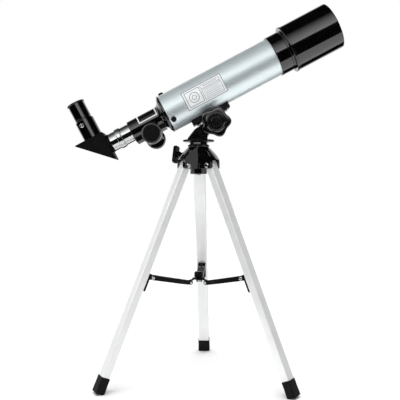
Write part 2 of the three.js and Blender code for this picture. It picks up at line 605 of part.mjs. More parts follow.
function legPin(leg, name) {
  const pin = turned('y', [[-14, 0], [-14, 2.4], [-13.4, 3.4], [-12.7, 3.4], [-12.7, 2.2],
    [12.7, 2.2], [12.7, 3.4], [13.4, 3.4], [14, 2.4], [14, 0]], NARROW);
  piece(leg, `leg_pin_${name}`, 'chrome', pin);
}

function bracket(leg, name) {
  const face = -LEG_T / 2 - GAP;
  const [low, high] = [-OUTER_S - 22, -OUTER_S + 4];
  const plate = prism('yz', [[-BRACKET_HALF, low + 2], [2 - BRACKET_HALF, low],
    [BRACKET_HALF - 2, low], [BRACKET_HALF, low + 2], [BRACKET_HALF, high],
    [-BRACKET_HALF, high]], face - BRACKET_T, face);
  const nose = arc(-OUTER_IN, -OUTER_S, 3.6, 90, 270, 8);
  const tab = prism('xz', [...nose, [face - 1, -OUTER_S - 6], [face - 1, -OUTER_S + 3.6]],
    -TAB_HALF, TAB_HALF);
  const hole = moved(rod('y', -10, 10, 1.9, TINY), -OUTER_IN, 0, -OUTER_S);
  piece(leg, `bracket_${name}`, 'satin', cut(join(plate, tab), hole));
}

// A rivet across an arm's end, with a head on each side of it.
function rivet(half, headR) {
  return turned('y', [[-half - 1.3, 0], [-half - 1.3, headR * 0.6], [-half - GAP, headR],
    [-half - GAP, 1.6], [half + GAP, 1.6], [half + GAP, headR], [half + 1.3, headR * 0.6],
    [half + 1.3, 0]], TINY);
}

// ---------------------------------------------------------------- spreader
// The outer pivot in a vertical plane through the leg: [radius, height].
function outerPivot() {
  const [s, c] = [Math.sin(SPREAD * DEG), Math.cos(SPREAD * DEG)];
  return [PIN_R + OUTER_S * s - OUTER_IN * c, PIN_Z - OUTER_S * c - OUTER_IN * s];
}

// An arm: a channel open below, pivot to pivot along -x, narrowed at its inner end.
function spreaderArm(tripod, azimuth, name) {
  const [r, z] = outerPivot();
  const length = Math.hypot(r - HUB_PIVOT_R, z - HUB_Z);
  const slope = Math.atan2(z - HUB_Z, r - HUB_PIVOT_R) / DEG;
  const half = ARM_W / 2;
  const side = [...arc(0, 0, ARM_H / 2, -90, 90, 6), ...arc(-length, 0, 2.9, 90, 270, 6),
    [-length + 8, -ARM_H / 2]];
  const plan = [[6, -half], [6, half], [-length + 17, half], [-length + 11, NECK_HALF],
    [-length - 5, NECK_HALF], [-length - 5, -NECK_HALF], [-length + 11, -NECK_HALF],
    [-length + 17, -half]];
  const shape = common(prism('xz', side, -10, 10), prism('xy', plan, -10, 10));
  const [wide, narrow] = [half - ARM_WALL, NECK_HALF - ARM_WALL];
  const hollow = prism('xy', [[20, -wide], [20, wide], [-length + 17, wide], [-length + 11, narrow],
    [-length - 20, narrow], [-length - 20, -narrow], [-length + 11, -narrow],
    [-length + 17, -wide]], -10, ARM_H / 2 - ARM_WALL);
  const openOut = block(-9, 10, -wide, wide, -10, 10);
  const openIn = block(-length - 10, -length + 20, -narrow, narrow, -10, 10);
  const holes = [0, -length].map((x) => moved(rod('y', -10, 10, 1.9, TINY), x, 0, 0));
  const arm = cut(shape, hollow, openOut, openIn, ...holes);
  const frame = new THREE.Group();
  frame.position.set(r, 0, z);
  frame.rotation.y = -slope * DEG;
  const turn = new THREE.Group();
  turn.rotation.z = azimuth * DEG;
  turn.add(frame);
  tripod.add(turn);
  piece(frame, `arm_${name}`, 'satin', arm);
  piece(frame, `outer_rivet_${name}`, 'chrome', rivet(half, 2.8));
  piece(frame, `inner_rivet_${name}`, 'chrome', moved(rivet(NECK_HALF, 2.2), -length, 0, 0));
}

function spreaderHub(tripod) {
  const plate = rod('z', HUB_Z + 4.2, HUB_Z + 6.4, 9.2);
  const stud = rod('z', HUB_Z + 5, HUB_Z + 13, 2, TINY);
  const hook = [...arc(HUB_PIVOT_R, HUB_Z, 4.2, -40, 100, 8), [6, HUB_Z + 6.4], [6, HUB_Z + 4.2],
    ...arc(HUB_PIVOT_R, HUB_Z, 2, 120, -40, 7)];
  const hooks = Object.values(LEG_AZIMUTHS).map((a) =>
    spun(prism('xz', hook, -TAB_HALF, TAB_HALF), Z, a));
  piece(tripod, 'spreader_hub', 'satin', join(plate, stud, ...hooks));
  piece(tripod, 'hub_knob', 'satin', turned('z', [[HUB_Z + 6.7, 2.3], [HUB_Z + 6.7, 5],
    [HUB_Z + 8, 6.5], [HUB_Z + 14, 6.5], [HUB_Z + 15.2, 5.2], [HUB_Z + 15.2, 0],
    [HUB_Z + 13.4, 0], [HUB_Z + 13.4, 2.3]], NARROW));
}

// ---------------------------------------------------------------- assembly
const assembly = new THREE.Group();

function buildTelescope() {
  const ota = new THREE.Group();
  ota.rotation.y = -TUBE_ALTITUDE * DEG;
  const lug = new THREE.Vector3(ALT_X, 0, ALT_Z).applyAxisAngle(Y, -TUBE_ALTITUDE * DEG);
  ota.position.set(ALT_AXIS_X - lug.x, 0, ALT_AXIS_Z - lug.z);
  assembly.add(ota);
  mainTube(ota);
  objective(ota);
  dewShield(ota);
  saddle(ota);
  const focuser = new THREE.Group();
  focuser.rotation.x = FOCUSER_ROLL * DEG;
  ota.add(focuser);
  focuserHousing(focuser);
  drawtube(focuser);
  focusDrive(focuser);
  diagonal(ota);
  eyepiece(ota);
}

function buildTripod() {
  crown(assembly);
  Object.entries(LEG_AZIMUTHS).forEach(([name, azimuth]) => {
    const leg = legFrame(assembly, azimuth);
    legTube(leg, name);
    boot(leg, name);
    legPin(leg, name);
    bracket(leg, name);
    spreaderArm(assembly, azimuth, name);
  });
  spreaderHub(assembly);
}

buildTelescope();
fork(assembly);
altitudeClamp(assembly);
buildTripod();

// The origin is the middle of the underside of the whole object's box.
assembly.updateMatrixWorld(true);
const box = new THREE.Box3().setFromObject(assembly, true);
assembly.position.set(-(box.min.x + box.max.x) / 2, -(box.min.y + box.max.y) / 2, -box.min.z);
const group = new THREE.Group();
group.add(assembly);
group.updateMatrixWorld(true);

export default group;
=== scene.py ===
# The looks of a small refracting telescope on a folding table tripod.
import json
import math

import bmesh
import bpy
from mathutils import Matrix, Vector


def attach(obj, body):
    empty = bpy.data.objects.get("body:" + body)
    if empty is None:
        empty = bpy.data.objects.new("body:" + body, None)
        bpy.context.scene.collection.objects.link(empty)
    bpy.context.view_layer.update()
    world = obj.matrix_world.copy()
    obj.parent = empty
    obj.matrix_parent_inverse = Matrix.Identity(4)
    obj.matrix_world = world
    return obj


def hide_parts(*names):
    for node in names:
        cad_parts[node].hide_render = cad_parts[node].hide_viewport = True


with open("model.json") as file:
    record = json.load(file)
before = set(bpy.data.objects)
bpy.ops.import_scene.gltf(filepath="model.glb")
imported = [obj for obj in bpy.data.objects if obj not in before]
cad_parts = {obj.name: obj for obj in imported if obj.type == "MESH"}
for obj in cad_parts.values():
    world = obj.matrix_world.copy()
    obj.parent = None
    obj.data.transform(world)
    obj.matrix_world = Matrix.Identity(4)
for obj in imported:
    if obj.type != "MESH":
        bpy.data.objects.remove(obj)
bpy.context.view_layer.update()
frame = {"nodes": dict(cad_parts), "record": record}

# ---------------------------------------------------------------- driving dimensions, in mm
MM = 0.001
GAP = 0.3                        # running gap between neighbouring pieces

TUBE_R = 28
TUBE_WALL = 1.3
TUBE_END = 187.5
CELL_START = 175.3
CELL_R = 29.75
LENS_SEAT = 193
LENS_R = 25.1
HOOD_START = 197.5
HOOD_END = 272
HOOD_R = 34
HOOD_BORE = 31.8

FOCUSER_ROLL = -6
PLATE_R = 28.5
BODY_R = 16
BODY_END = -57
DRAW_R = 13.5
PINION_X = -31
PINION_Z = -21
KNOB_R = 14.5
KNOB_IN = 17
KNOB_OUT = 27.5
CLAMP_X = -75
SCREW_X = 6
SCREW_ANGLES = (127.5, 247.5, 7.5)

FOLD_X = -110                    # where the optical axis folds, along the tube
HOLDER_R = 14
HOLDER_TOP = 47.4
HOLDER_SCREW_Z = 39.5
EYEPIECE_TOP = 75
EYEPIECE_R = 12.4

SADDLE_START = 27
SADDLE_END = 86.5
SADDLE_FOOT = -35
ALT_X = 57.15                    # the altitude axis, in the tube's own frame
ALT_Z = -46

CHEEK_IN = 10.4
CHEEK_OUT = 14.5
DISC_R = 22.8
DISC_Z = 346.2
FORK_FLOOR = 355
STAR_R = 21.9
STAR_DEPTH = 1.85
STAR_LOBES = 5
STAR_TURN = 4

SPREAD = 22.8                    # a leg's angle from the vertical
PIN_R = 22
PIN_Z = 311
LOBE_HALF = 12.4
LIP = 1
CROWN_TOP = 345.9
CROWN_FOOT = 299
LEG_W = 17
LEG_T = 11
LEG_WALL = 1.2
BOOT_W = 19
BOOT_T = 13
BOOT_HEIGHT = 23
BOOT_FLOOR = 3
LOCK_R = 38.6
LOCK_LEAN = 13
OUTER_S = 165.6                  # from the leg pin down the leg to the spreader's outer pivot
OUTER_IN = 13.7
HUB_PIVOT_R = 13.5
HUB_Z = 141.5
ARM_W = 10.6
ARM_H = 7
ARM_WALL = 1.2
NECK_HALF = 3.6
BRACKET_HALF = 6                 # half width of a bracket's plate on its leg
BRACKET_T = 3.6

# ---------------------------------------------------------------- frames from the joints
RECORD = frame["record"]
JOINTS = {joint["name"]: joint for joint in RECORD["behaviour"]["joints"]}
BODY_OF = {node: body for body, nodes in RECORD["behaviour"]["bodies"].items() for node in nodes}
SLOT_OF = {part["node"]: part["material_slot"] for part in RECORD["subparts"]}


def at(x, y, z):
    return Matrix.Translation(Vector((x, y, z)) * MM)


def spin(axis, degrees):
    return Matrix.Rotation(math.radians(degrees), 4, axis.upper())


def joint_place(name):
    return Matrix.Translation(Vector(JOINTS[name]["pos_m"]))


def joint_axis(name):
    return Vector(JOINTS[name]["axis"]).normalized()


def tube_frame():
    """x along the tube from the back plate, z up across it."""
    x = -joint_axis("focus")
    z = joint_axis("eyepiece_pull")
    turn = Matrix((x, z.cross(x), z)).transposed().to_4x4()
    return joint_place("diagonal_turn") @ turn @ at(-FOLD_X, 0, 0)


def azimuth_of(joint):
    axis = joint_axis(joint)
    return math.degrees(math.atan2(-axis.x, axis.y))


TUBE = tube_frame()
FOCUSER = TUBE @ spin("x", FOCUSER_ROLL)
FOLD = TUBE @ at(FOLD_X, 0, 0)
AXIS = Vector((JOINTS["azimuth"]["pos_m"][0], JOINTS["azimuth"]["pos_m"][1], 0))
MOUNT = Matrix.Translation(AXIS)
ALTITUDE = joint_place("altitude")
LEGS = {name: azimuth_of(f"leg_fold_{name}") for name in ("rear", "left", "right")}


def leg_frame(name):
    return joint_place(f"leg_fold_{name}") @ spin("z", LEGS[name]) @ spin("y", -SPREAD)


def outer_pivot():
    """The spreader's outer pivot in a leg's own upright plane: radius and height."""
    s, c = math.sin(math.radians(SPREAD)), math.cos(math.radians(SPREAD))
    return PIN_R + OUTER_S * s - OUTER_IN * c, PIN_Z - OUTER_S * c - OUTER_IN * s


def arm_length():
    radius, height = outer_pivot()
    return math.hypot(radius - HUB_PIVOT_R, height - HUB_Z)


def arm_frame(name):
    radius, height = outer_pivot()
    slope = math.degrees(math.atan2(height - HUB_Z, radius - HUB_PIVOT_R))
    return joint_place(f"arm_fold_{name}") @ spin("z", LEGS[name]) @ spin("y", -slope)


# ---------------------------------------------------------------- mesh helpers
AXES = {"x": lambda a, u, v: (a, u, v), "y": lambda a, u, v: (u, a, v),
        "z": lambda a, u, v: (u, v, a)}
PLANES = {"xy": lambda u, v, w: (u, v, w), "xz": lambda u, v, w: (u, w, v),
          "yz": lambda u, v, w: (w, u, v)}


def arc(u, v, r, start, end, steps=12):
    turns = [math.radians(start + (end - start) * i / steps) for i in range(steps + 1)]
    return [(u + r * math.cos(t), v + r * math.sin(t)) for t in turns]


def soften(points, steps=5):
    """Each corner given as (u, v, radius) becomes an arc that touches both of its sides."""
    out = []
    for i, point in enumerate(points):
        here = Vector(point[:2])
        radius = point[2] if len(point) > 2 else 0
        if not radius:
            out.append(here)
            continue
        back = Vector(points[i - 1][:2]) - here
        ahead = Vector(points[(i + 1) % len(points)][:2]) - here
        half = back.angle(ahead) / 2
        reach = min(radius / math.tan(half), 0.49 * back.length, 0.49 * ahead.length)
        middle = back.normalized() + ahead.normalized()
        centre = here + middle.normalized() * (reach / math.cos(half))
        first = here + back.normalized() * reach - centre
        last = here + ahead.normalized() * reach - centre
        start = math.atan2(first.y, first.x)
        sweep = (math.atan2(last.y, last.x) - start + math.pi) % (2 * math.pi) - math.pi
        for k in range(steps + 1):
            turn = start + sweep * k / steps
            out.append(centre + first.length * Vector((math.cos(turn), math.sin(turn))))
    return out


def solid(verts, faces):
    mesh = bpy.data.meshes.new("shape")
    mesh.from_pydata([Vector(v) * MM for v in verts], [], faces)
    work = bmesh.new()
    work.from_mesh(mesh)
    bmesh.ops.remove_doubles(work, verts=work.verts, dist=1e-7)
    bmesh.ops.recalc_face_normals(work, faces=work.faces)
    work.to_mesh(mesh)
    work.free()
    made = bpy.data.objects.new("shape", mesh)
    bpy.context.scene.collection.objects.link(made)
    return made


def loft(rings, closed=False):
    """A skin over successive rings of points, where a ring of one point is a tip."""
    starts = [sum(len(ring) for ring in rings[:i]) for i in range(len(rings))]
    verts = [point for ring in rings for point in ring]
    pairs = [(i, i + 1) for i in range(len(rings) - 1)]
    if closed:
        pairs.append((len(rings) - 1, 0))
    faces = []
    for a, b in pairs:
        count = max(len(rings[a]), len(rings[b]))
        for i in range(count):
            j = (i + 1) % count
            corners = [starts[a] + i % len(rings[a]), starts[a] + j % len(rings[a]),
                       starts[b] + j % len(rings[b]), starts[b] + i % len(rings[b])]
            faces.append(list(dict.fromkeys(corners)))
    if not closed:
        for start, ring in ((0, rings[0]), (starts[-1], rings[-1])):
            if len(ring) > 2:
                faces.append([start + i for i in range(len(ring))])
    return solid(verts, faces)


def turned(axis, profile, sides=96, swell=None):
    """A body of revolution from (along, radius, fillet) points, which swell may make uneven."""
    rings = []
    for along, r in soften(profile):
        turns = [2 * math.pi * i / sides for i in range(sides)] if r > 1e-6 else [0]
        radii = [swell(t, along, r) if swell and r > 1e-6 else r for t in turns]
        rings.append([AXES[axis](along, q * math.cos(t), q * math.sin(t)) for q, t in zip(radii, turns)])
    return loft(rings, closed=len(rings[0]) > 1)


def inset(outline, distance):
    """An outline moved inward along its corners' bisectors."""
    area = sum(a.x * b.y - b.x * a.y for a, b in zip(outline, outline[1:] + outline[:1]))
    side = math.copysign(1, area)
    out = []
    for i, here in enumerate(outline):
        before = (here - outline[i - 1]).normalized()
        after = (outline[(i + 1) % len(outline)] - here).normalized()
        normals = [side * Vector((-d.y, d.x)) for d in (before, after)]
        middle = (normals[0] + normals[1]).normalized()
        out.append(here + middle * distance / max(0.35, middle.dot(normals[0])))
    return out


def prism(plane, outline, start, end, edge=0.4, steps=3):
    """A straight extrusion with rounded edges at both ends."""
    outline = soften(outline)
    near, far = [], []
    for k in range(steps + 1 if edge else 1):
        turn = k / steps * math.pi / 2
        loop = inset(outline, edge * (1 - math.sin(turn))) if edge else outline
        rise = edge * (1 - math.cos(turn))
        near.append([PLANES[plane](u, v, start + rise) for u, v in loop])
        far.append([PLANES[plane](u, v, end - rise) for u, v in loop])
    return loft(near + far[::-1])


def block(x0, x1, y0, y1, z0, z1, corner=0, edge=0.0):
    outline = [(x0, y0, corner), (x1, y0, corner), (x1, y1, corner), (x0, y1, corner)]
    return prism("xy", outline, z0, z1, edge)


def rod(axis, start, end, r, sides=48):
    return turned(axis, [(start, 0), (start, r), (end, r), (end, 0)], sides)


def rounded_rectangle(w, h, r):
    return [(w / 2, h / 2, r), (-w / 2, h / 2, r), (-w / 2, -h / 2, r), (w / 2, -h / 2, r)]


def moved(shape, matrix):
    shape.data.transform(matrix)
    return shape


def applied(shape):
    """The shape with its modifiers worked into its mesh."""
    graph = bpy.context.evaluated_depsgraph_get()
    mesh = bpy.data.meshes.new_from_object(shape.evaluated_get(graph))
    old = shape.data
    shape.modifiers.clear()
    shape.data = mesh
    bpy.data.meshes.remove(old)
    return shape


def combined(shape, operation, tools):
    for tool in tools:
        step = shape.modifiers.new("step", "BOOLEAN")
        step.operation = operation
        step.solver = "MANIFOLD"
        step.object = tool
        applied(shape)
        bpy.data.objects.remove(tool)
    return shape


def cut(shape, *tools):
    return combined(shape, "DIFFERENCE", tools)


def join(shape, *tools):
    return combined(shape, "UNION", tools)


def common(shape, tool):
    return combined(shape, "INTERSECT", [tool])


def bevelled(shape, width, segments=3, angle=35):
    """Rounds every sharp edge of a shape."""
    step = shape.modifiers.new("edges", "BEVEL")
    step.width = width * MM
    step.segments = segments
    step.limit_method = "ANGLE"
    step.angle_limit = math.radians(angle)
    return applied(shape)


def dressed(shape, name, like, place, finish):
    """Gives a shape its name, place, finish and shading, and puts it on the body of a CAD node."""
    shape.name = name
    shape.data.name = name
    shape.matrix_world = place
    shape.data.materials.clear()
    shape.data.materials.append(finish)
    shape.data.shade_smooth()
    shape.data.set_sharp_from_angle(angle=math.radians(32))
    normals = shape.modifiers.new("normals", "WEIGHTED_NORMAL")
    normals.keep_sharp = True
    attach(shape, BODY_OF[like])
    return shape


def piece(shape, node, place, finish=None):
    """The fine shape that stands for a CAD node."""
    slot = SLOT_OF[node]
    dressed(shape, f"{node}_fine", node, place, finish or FINISHES[slot])
    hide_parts(node)
    return shape


def trim(shape, name, like, place, finish):
    """A fine detail that no CAD node holds, on the body of one that is there."""
    dressed(shape, name, like, place, finish)
    return shape


# ---------------------------------------------------------------- materials
class Finish:
    """A Principled material with helpers for its procedural detail."""

    def __init__(self, name, values):
        self.material = bpy.data.materials.new(name)
        self.material.use_nodes = True
        self.nodes = self.material.node_tree.nodes
        self.link = self.material.node_tree.links.new
        self.shader = self.nodes["Principled BSDF"]
        for socket, value in values.items():
            self.shader.inputs[socket].default_value = value

    def noise(self, scale, detail=3.0, stretch=(1, 1, 1)):
        """Noise with so many features in a metre, drawn out along an axis by a small stretch value."""
        place = self.nodes.new("ShaderNodeTexCoord")
        mapping = self.nodes.new("ShaderNodeMapping")
        mapping.inputs["Scale"].default_value = stretch
        texture = self.nodes.new("ShaderNodeTexNoise")
        texture.inputs["Scale"].default_value = scale
        texture.inputs["Detail"].default_value = detail
        self.link(place.outputs["Object"], mapping.inputs["Vector"])
        self.link(mapping.outputs["Vector"], texture.inputs["Vector"])
        return texture.outputs["Fac"]

    def ranged(self, source, low, high):
        step = self.nodes.new("ShaderNodeMapRange")
        step.inputs["From Min"].default_value = 0.3
        step.inputs["From Max"].default_value = 0.7
        step.inputs["To Min"].default_value = low
        step.inputs["To Max"].default_value = high
        self.link(source, step.inputs["Value"])
        return step.outputs["Result"]

    def roughness(self, source, low, high):
        self.link(self.ranged(source, low, high), self.shader.inputs["Roughness"])

    def colours(self, source, first, second):
        mix = self.nodes.new("ShaderNodeMix")
        mix.data_type = "RGBA"
        colour_a, colour_b = [s for s in mix.inputs if s.type == "RGBA"]
        colour_a.default_value = (*first, 1)
        colour_b.default_value = (*second, 1)
        self.link(self.ranged(source, 0, 1), mix.inputs["Factor"])
        result = next(s for s in mix.outputs if s.type == "RGBA")
        self.link(result, self.shader.inputs["Base Color"])

    def relief(self, source, depth, strength=1.0):
        """Bump whose height is so many mm from its lowest to its highest place."""
        bump = self.nodes.new("ShaderNodeBump")
        bump.inputs["Strength"].default_value = strength
        bump.inputs["Distance"].default_value = depth * MM
        self.link(source, bump.inputs["Height"])
        self.link(bump.outputs["Normal"], self.shader.inputs["Normal"])


def tube_paint():
    paint = Finish("tube_paint", {"Metallic": 0.72, "Coat Weight": 0.25, "Coat Roughness": 0.12})
    flakes = paint.noise(9000, 2)
    paint.colours(flakes, (0.80, 0.895, 0.912), (0.87, 0.955, 0.97))
    paint.roughness(paint.noise(60, 4), 0.40, 0.46)
    paint.relief(paint.noise(700, 2), 0.004)
    return paint.material


def gloss_black():
    plastic = Finish("gloss_black", {"Coat Weight": 1.0, "Coat Roughness": 0.07})
    plastic.colours(plastic.noise(90, 4), (0.0007, 0.0007, 0.0008), (0.0013, 0.0013, 0.0014))
    plastic.roughness(plastic.noise(140, 5), 0.08, 0.15)
    plastic.relief(plastic.noise(500, 2), 0.006)
    return plastic.material


def satin_black():
    plastic = Finish("satin_black", {"Specular IOR Level": 0.16})
    plastic.colours(plastic.noise(120, 4), (0.0012, 0.0012, 0.0013), (0.0025, 0.0025, 0.0027))
    plastic.roughness(plastic.noise(220, 5), 0.25, 0.35)
    plastic.relief(plastic.noise(2600, 3), 0.012)
    return plastic.material


def grained_black():
    plastic = Finish("grained_black", {"Specular IOR Level": 0.12})
    plastic.colours(plastic.noise(150, 4), (0.0012, 0.0012, 0.0012), (0.003, 0.003, 0.003))
    plastic.roughness(plastic.noise(300, 5), 0.5, 0.64)
    plastic.relief(plastic.noise(2200, 4), 0.05)
    return plastic.material


def chrome():
    plate = Finish("chrome", {"Metallic": 1.0})
    plate.colours(plate.noise(40, 3), (0.56, 0.565, 0.57), (0.66, 0.665, 0.67))
    plate.roughness(plate.noise(260, 5), 0.05, 0.11)
    plate.relief(plate.noise(400, 2), 0.003)
    return plate.material


def aluminium():
    metal = Finish("aluminium", {"Metallic": 0.45})
    streaks = metal.noise(1400, 4, stretch=(1, 1, 0.02))
    metal.colours(metal.noise(30, 3), (0.86, 0.865, 0.87), (0.92, 0.925, 0.93))
    metal.roughness(streaks, 0.3, 0.42)
    metal.relief(streaks, 0.004)
    return metal.material


def rubber():
    moulded = Finish("rubber", {"Specular IOR Level": 0.15})
    moulded.colours(moulded.noise(130, 4), (0.0022, 0.0022, 0.0022), (0.0045, 0.0045, 0.0045))
    moulded.roughness(moulded.noise(400, 4), 0.55, 0.72)
    moulded.relief(moulded.noise(1600, 4), 0.03)
    return moulded.material


def steel():
    metal = Finish("steel", {"Metallic": 1.0})
    metal.colours(metal.noise(150, 4), (0.42, 0.43, 0.45), (0.56, 0.57, 0.59))
    metal.roughness(metal.noise(500, 5), 0.25, 0.4)
    metal.relief(metal.noise(900, 3), 0.01)
    return metal.material


def brass():
    metal = Finish("brass", {"Metallic": 1.0})
    metal.colours(metal.noise(100, 4), (0.58, 0.43, 0.19), (0.7, 0.55, 0.28))
    metal.roughness(metal.noise(500, 5), 0.25, 0.42)
    metal.relief(metal.noise(900, 3), 0.01)
    return metal.material


def lens_glass():
    glass = Finish("lens_glass", {"Transmission Weight": 1.0, "IOR": 1.52, "Coat Weight": 0.6})
    glass.colours(glass.noise(20, 2), (0.86, 0.93, 0.97), (0.9, 0.95, 0.98))
    glass.roughness(glass.noise(300, 4), 0.0, 0.02)
    return glass.material


def mirror():
    silver = Finish("mirror", {"Metallic": 1.0})
    silver.colours(silver.noise(60, 3), (0.90, 0.91, 0.92), (0.94, 0.95, 0.96))
    silver.roughness(silver.noise(300, 4), 0.01, 0.03)
    return silver.material


def printed(name, dark, light):
    film = Finish(name, {"Coat Weight": 0.3, "Coat Roughness": 0.15})
    film.colours(film.noise(800, 4), dark, light)
    film.roughness(film.noise(400, 4), 0.3, 0.42)
    film.relief(film.noise(1500, 3), 0.003)
    return film.material


def floor_finish():
    paper = Finish("floor", {"Specular IOR Level": 0.0})
    paper.colours(paper.noise(8, 4), (0.93, 0.93, 0.93), (0.95, 0.95, 0.95))
    paper.roughness(paper.noise(60, 4), 0.85, 0.95)
    return paper.material


FINISHES = {
    "tube_paint": tube_paint(),
    "gloss_black": gloss_black(),
    "satin_black": satin_black(),
    "chrome": chrome(),
    "aluminium": aluminium(),
    "rubber": rubber(),
    "steel": steel(),
    "brass": brass(),
    "lens_glass": lens_glass(),
    "mirror": mirror(),
}
GRAINED = grained_black()
WHITE_FILM = printed("white_film", (0.78, 0.80, 0.81), (0.86, 0.88, 0.89))
DARK_INK = printed("dark_ink", (0.015, 0.018, 0.024), (0.03, 0.033, 0.04))
GREY_INK = printed("grey_ink", (0.30, 0.33, 0.36), (0.38, 0.41, 0.44))
WHITE_INK = printed("white_ink", (0.72, 0.73, 0.73), (0.80, 0.81, 0.81))


# ---------------------------------------------------------------- small hardware
def driver_cross(size, depth):
    """The cross-shaped recess of a screw head whose top is at z = 0."""
    arm = [(-size, -0.45), (size, -0.45), (size, 0.45), (-size, 0.45)]
    first = prism("xy", arm, -depth, 2, 0)
    second = moved(prism("xy", arm, -depth, 2, 0), spin("z", 90))
    return join(first, second)


def screw_head(r, low, high, shank_r, shank_end):
    """A round-head screw that points inward from its head, with a cross recess."""
    head = turned("z", [(shank_end, 0), (shank_end, shank_r), (low, shank_r), (low, r, 0.2),
                        (low + (high - low) * 0.45, r, 0.5), (high, r * 0.62, 1.2), (high, 0)], 64)
    return cut(head, moved(driver_cross(r * 0.52, 1.1), at(0, 0, high)))


def knurled(axis, profile, grip, ridges=36, depth=0.22):
    """A turned knob whose side has fine ridges between two places along its axis."""
    def swell(turn, along, r):
        inside = grip[0] < along < grip[1] and r > grip[2]
        return r + depth * math.cos(ridges * turn) if inside else r
    return turned(axis, profile, ridges * 8, swell)


def hexagon(r):
    return [(u, v, 0.3) for u, v in arc(0, 0, r, 0, 300, 5)]


# ---------------------------------------------------------------- optical tube
def main_tube():
    shape = turned("x", [(GAP, TUBE_R, 0.3), (TUBE_END, TUBE_R, 0.3), (TUBE_END, TUBE_R - TUBE_WALL),
                         (GAP, TUBE_R - TUBE_WALL)], 160)
    piece(shape, "main_tube", TUBE)


def wrapped(x0, x1, low, high, r, lift, depth=0.12):
    """A thin patch that lies round a tube, from one angle to another up from the near side."""
    steps = max(1, round((high - low) / 2))
    rings = []
    for i in range(steps + 1):
        turn = math.radians(low + (high - low) * i / steps)
        corners = ((x0, r - depth), (x0, r + lift), (x1, r + lift), (x1, r - depth))
        rings.append([(x, -q * math.cos(turn), q * math.sin(turn)) for x, q in corners])
    return loft(rings)


def wrapped_ring(x, angle, outer, inner, r, lift, depth=0.12):
    """A thin ring, or a disc where inner is 0, that lies round a tube."""
    def loop(size, height):
        points = []
        for k in range(64 if size else 1):
            t = 2 * math.pi * k / 64
            turn = math.radians(angle) + size * math.sin(t) / r
            points.append((x + size * math.cos(t), -height * math.cos(turn), height * math.sin(turn)))
        return points
    top, bottom = r + lift, r - depth
    rings = [loop(inner, top), loop(outer, top), loop(outer, bottom), loop(inner, bottom)]
    return loft(rings, closed=inner > 0)


def outline_on_tube(x0, x1, low, high, width, r, lift):
    """A printed rectangle of four lines round a tube."""
    lean = math.degrees(width / r)
    return [wrapped(x0, x1, low, low + lean, r, lift), wrapped(x0, x1, high - lean, high, r, lift),
            wrapped(x0, x0 + width, low + lean, high - lean, r, lift),
            wrapped(x1 - width, x1, low + lean, high - lean, r, lift)]


def merged(shapes):
    """Several separate shapes as one mesh, without joining their surfaces."""
    work = bmesh.new()
    for shape in shapes:
        work.from_mesh(shape.data)
    mesh = shapes[0].data
    work.to_mesh(mesh)
    work.free()
    for shape in shapes[1:]:
        bpy.data.objects.remove(shape)
    return shapes[0]


def sticker():
    """A printed label on the near side of the tube, with plain shapes in place of its words."""
    x0, x1, low, high = 30.5, 93, -33, 26.5
    split_x = 58.5
    split_angle = 9
    margin = 3.8
    lift = 0.09
    film = wrapped(x0, x1, low, high, TUBE_R, 0.05)
    trim(film, "sticker_film", "main_tube", TUBE, WHITE_FILM)
    left, right = split_x - 0.9, split_x + 0.9
    lines = outline_on_tube(x0 + 0.3, x1 - 0.3, low + 0.6, high - 0.6, 0.8, TUBE_R, lift)
    lines += outline_on_tube(x0 + margin, left, low + 7, high - 7, 0.7, TUBE_R, lift)
    lines += outline_on_tube(right, x1 - margin, split_angle, high - 7, 0.5, TUBE_R, lift)
    lines += outline_on_tube(right, x1 - margin, low + 7, split_angle - 2.5, 0.5, TUBE_R, lift)
    middle = (x0 + margin + left) / 2
    lines.append(wrapped_ring(middle, (low + high) / 2, 7.4, 6.7, TUBE_R, lift))
    lines.append(wrapped_ring(middle, (low + high) / 2, 3.4, 2.8, TUBE_R, lift))
    trim(merged(lines), "sticker_lines", "main_tube", TUBE, DARK_INK)
    marks = [wrapped(split_x + 5, x1 - 8, 13.4, 15.8, TUBE_R, lift)]
    for row in range(5):
        start = 1.2 - 5.6 * row
        marks.append(wrapped(right + 2.4, x1 - 5.4 - 3 * (row % 2), start, start + 1.5, TUBE_R, lift))
    trim(merged(marks), "sticker_marks", "main_tube", TUBE, GREY_INK)


def objective():
    cell = turned("x", [(CELL_START, 28.3), (CELL_START, CELL_R, 0.6), (HOOD_START - 4, CELL_R, 0.3),
                        (HOOD_START - 3.6, CELL_R - 0.5, 0.2), (HOOD_START - 3, CELL_R - 0.5, 0.2),
                        (HOOD_START - 2.6, CELL_R, 0.3), (HOOD_START - GAP, CELL_R, 0.3),
                        (HOOD_START - GAP, 29.4), (212, 29.4, 0.3), (212, 25.4, 0.3),
                        (LENS_SEAT, 25.4), (LENS_SEAT, 23.5), (TUBE_END + 0.4, 23.5),
                        (TUBE_END + 0.4, 28.3)], 160)
    piece(cell, "objective_cell", TUBE)

    def bulge(edge, depth, steps=20):
        return [(edge + depth * (1 - (i / steps) ** 2), LENS_R * i / steps) for i in range(steps + 1)]
    flint = [(LENS_SEAT + GAP, 0), (LENS_SEAT + GAP, LENS_R)] + bulge(198, -1.5)[::-1]
    crown = bulge(198.3, -1.5) + bulge(202.3, 2.2)[::-1]
    piece(turned("x", flint, 128), "flint_lens", TUBE)
    piece(turned("x", crown, 128), "crown_lens", TUBE)
    ring = turned("x", [(202.9, 23.6), (202.9, LENS_R), (207, LENS_R, 0.3), (207, 24.4, 0.3)], 128)
    slots = [moved(block(205.4, 210, -1.5, 1.5, 20, 30), spin("x", a)) for a in (90, 270)]
    piece(cut(ring, *slots), "lens_retaining_ring", TUBE)


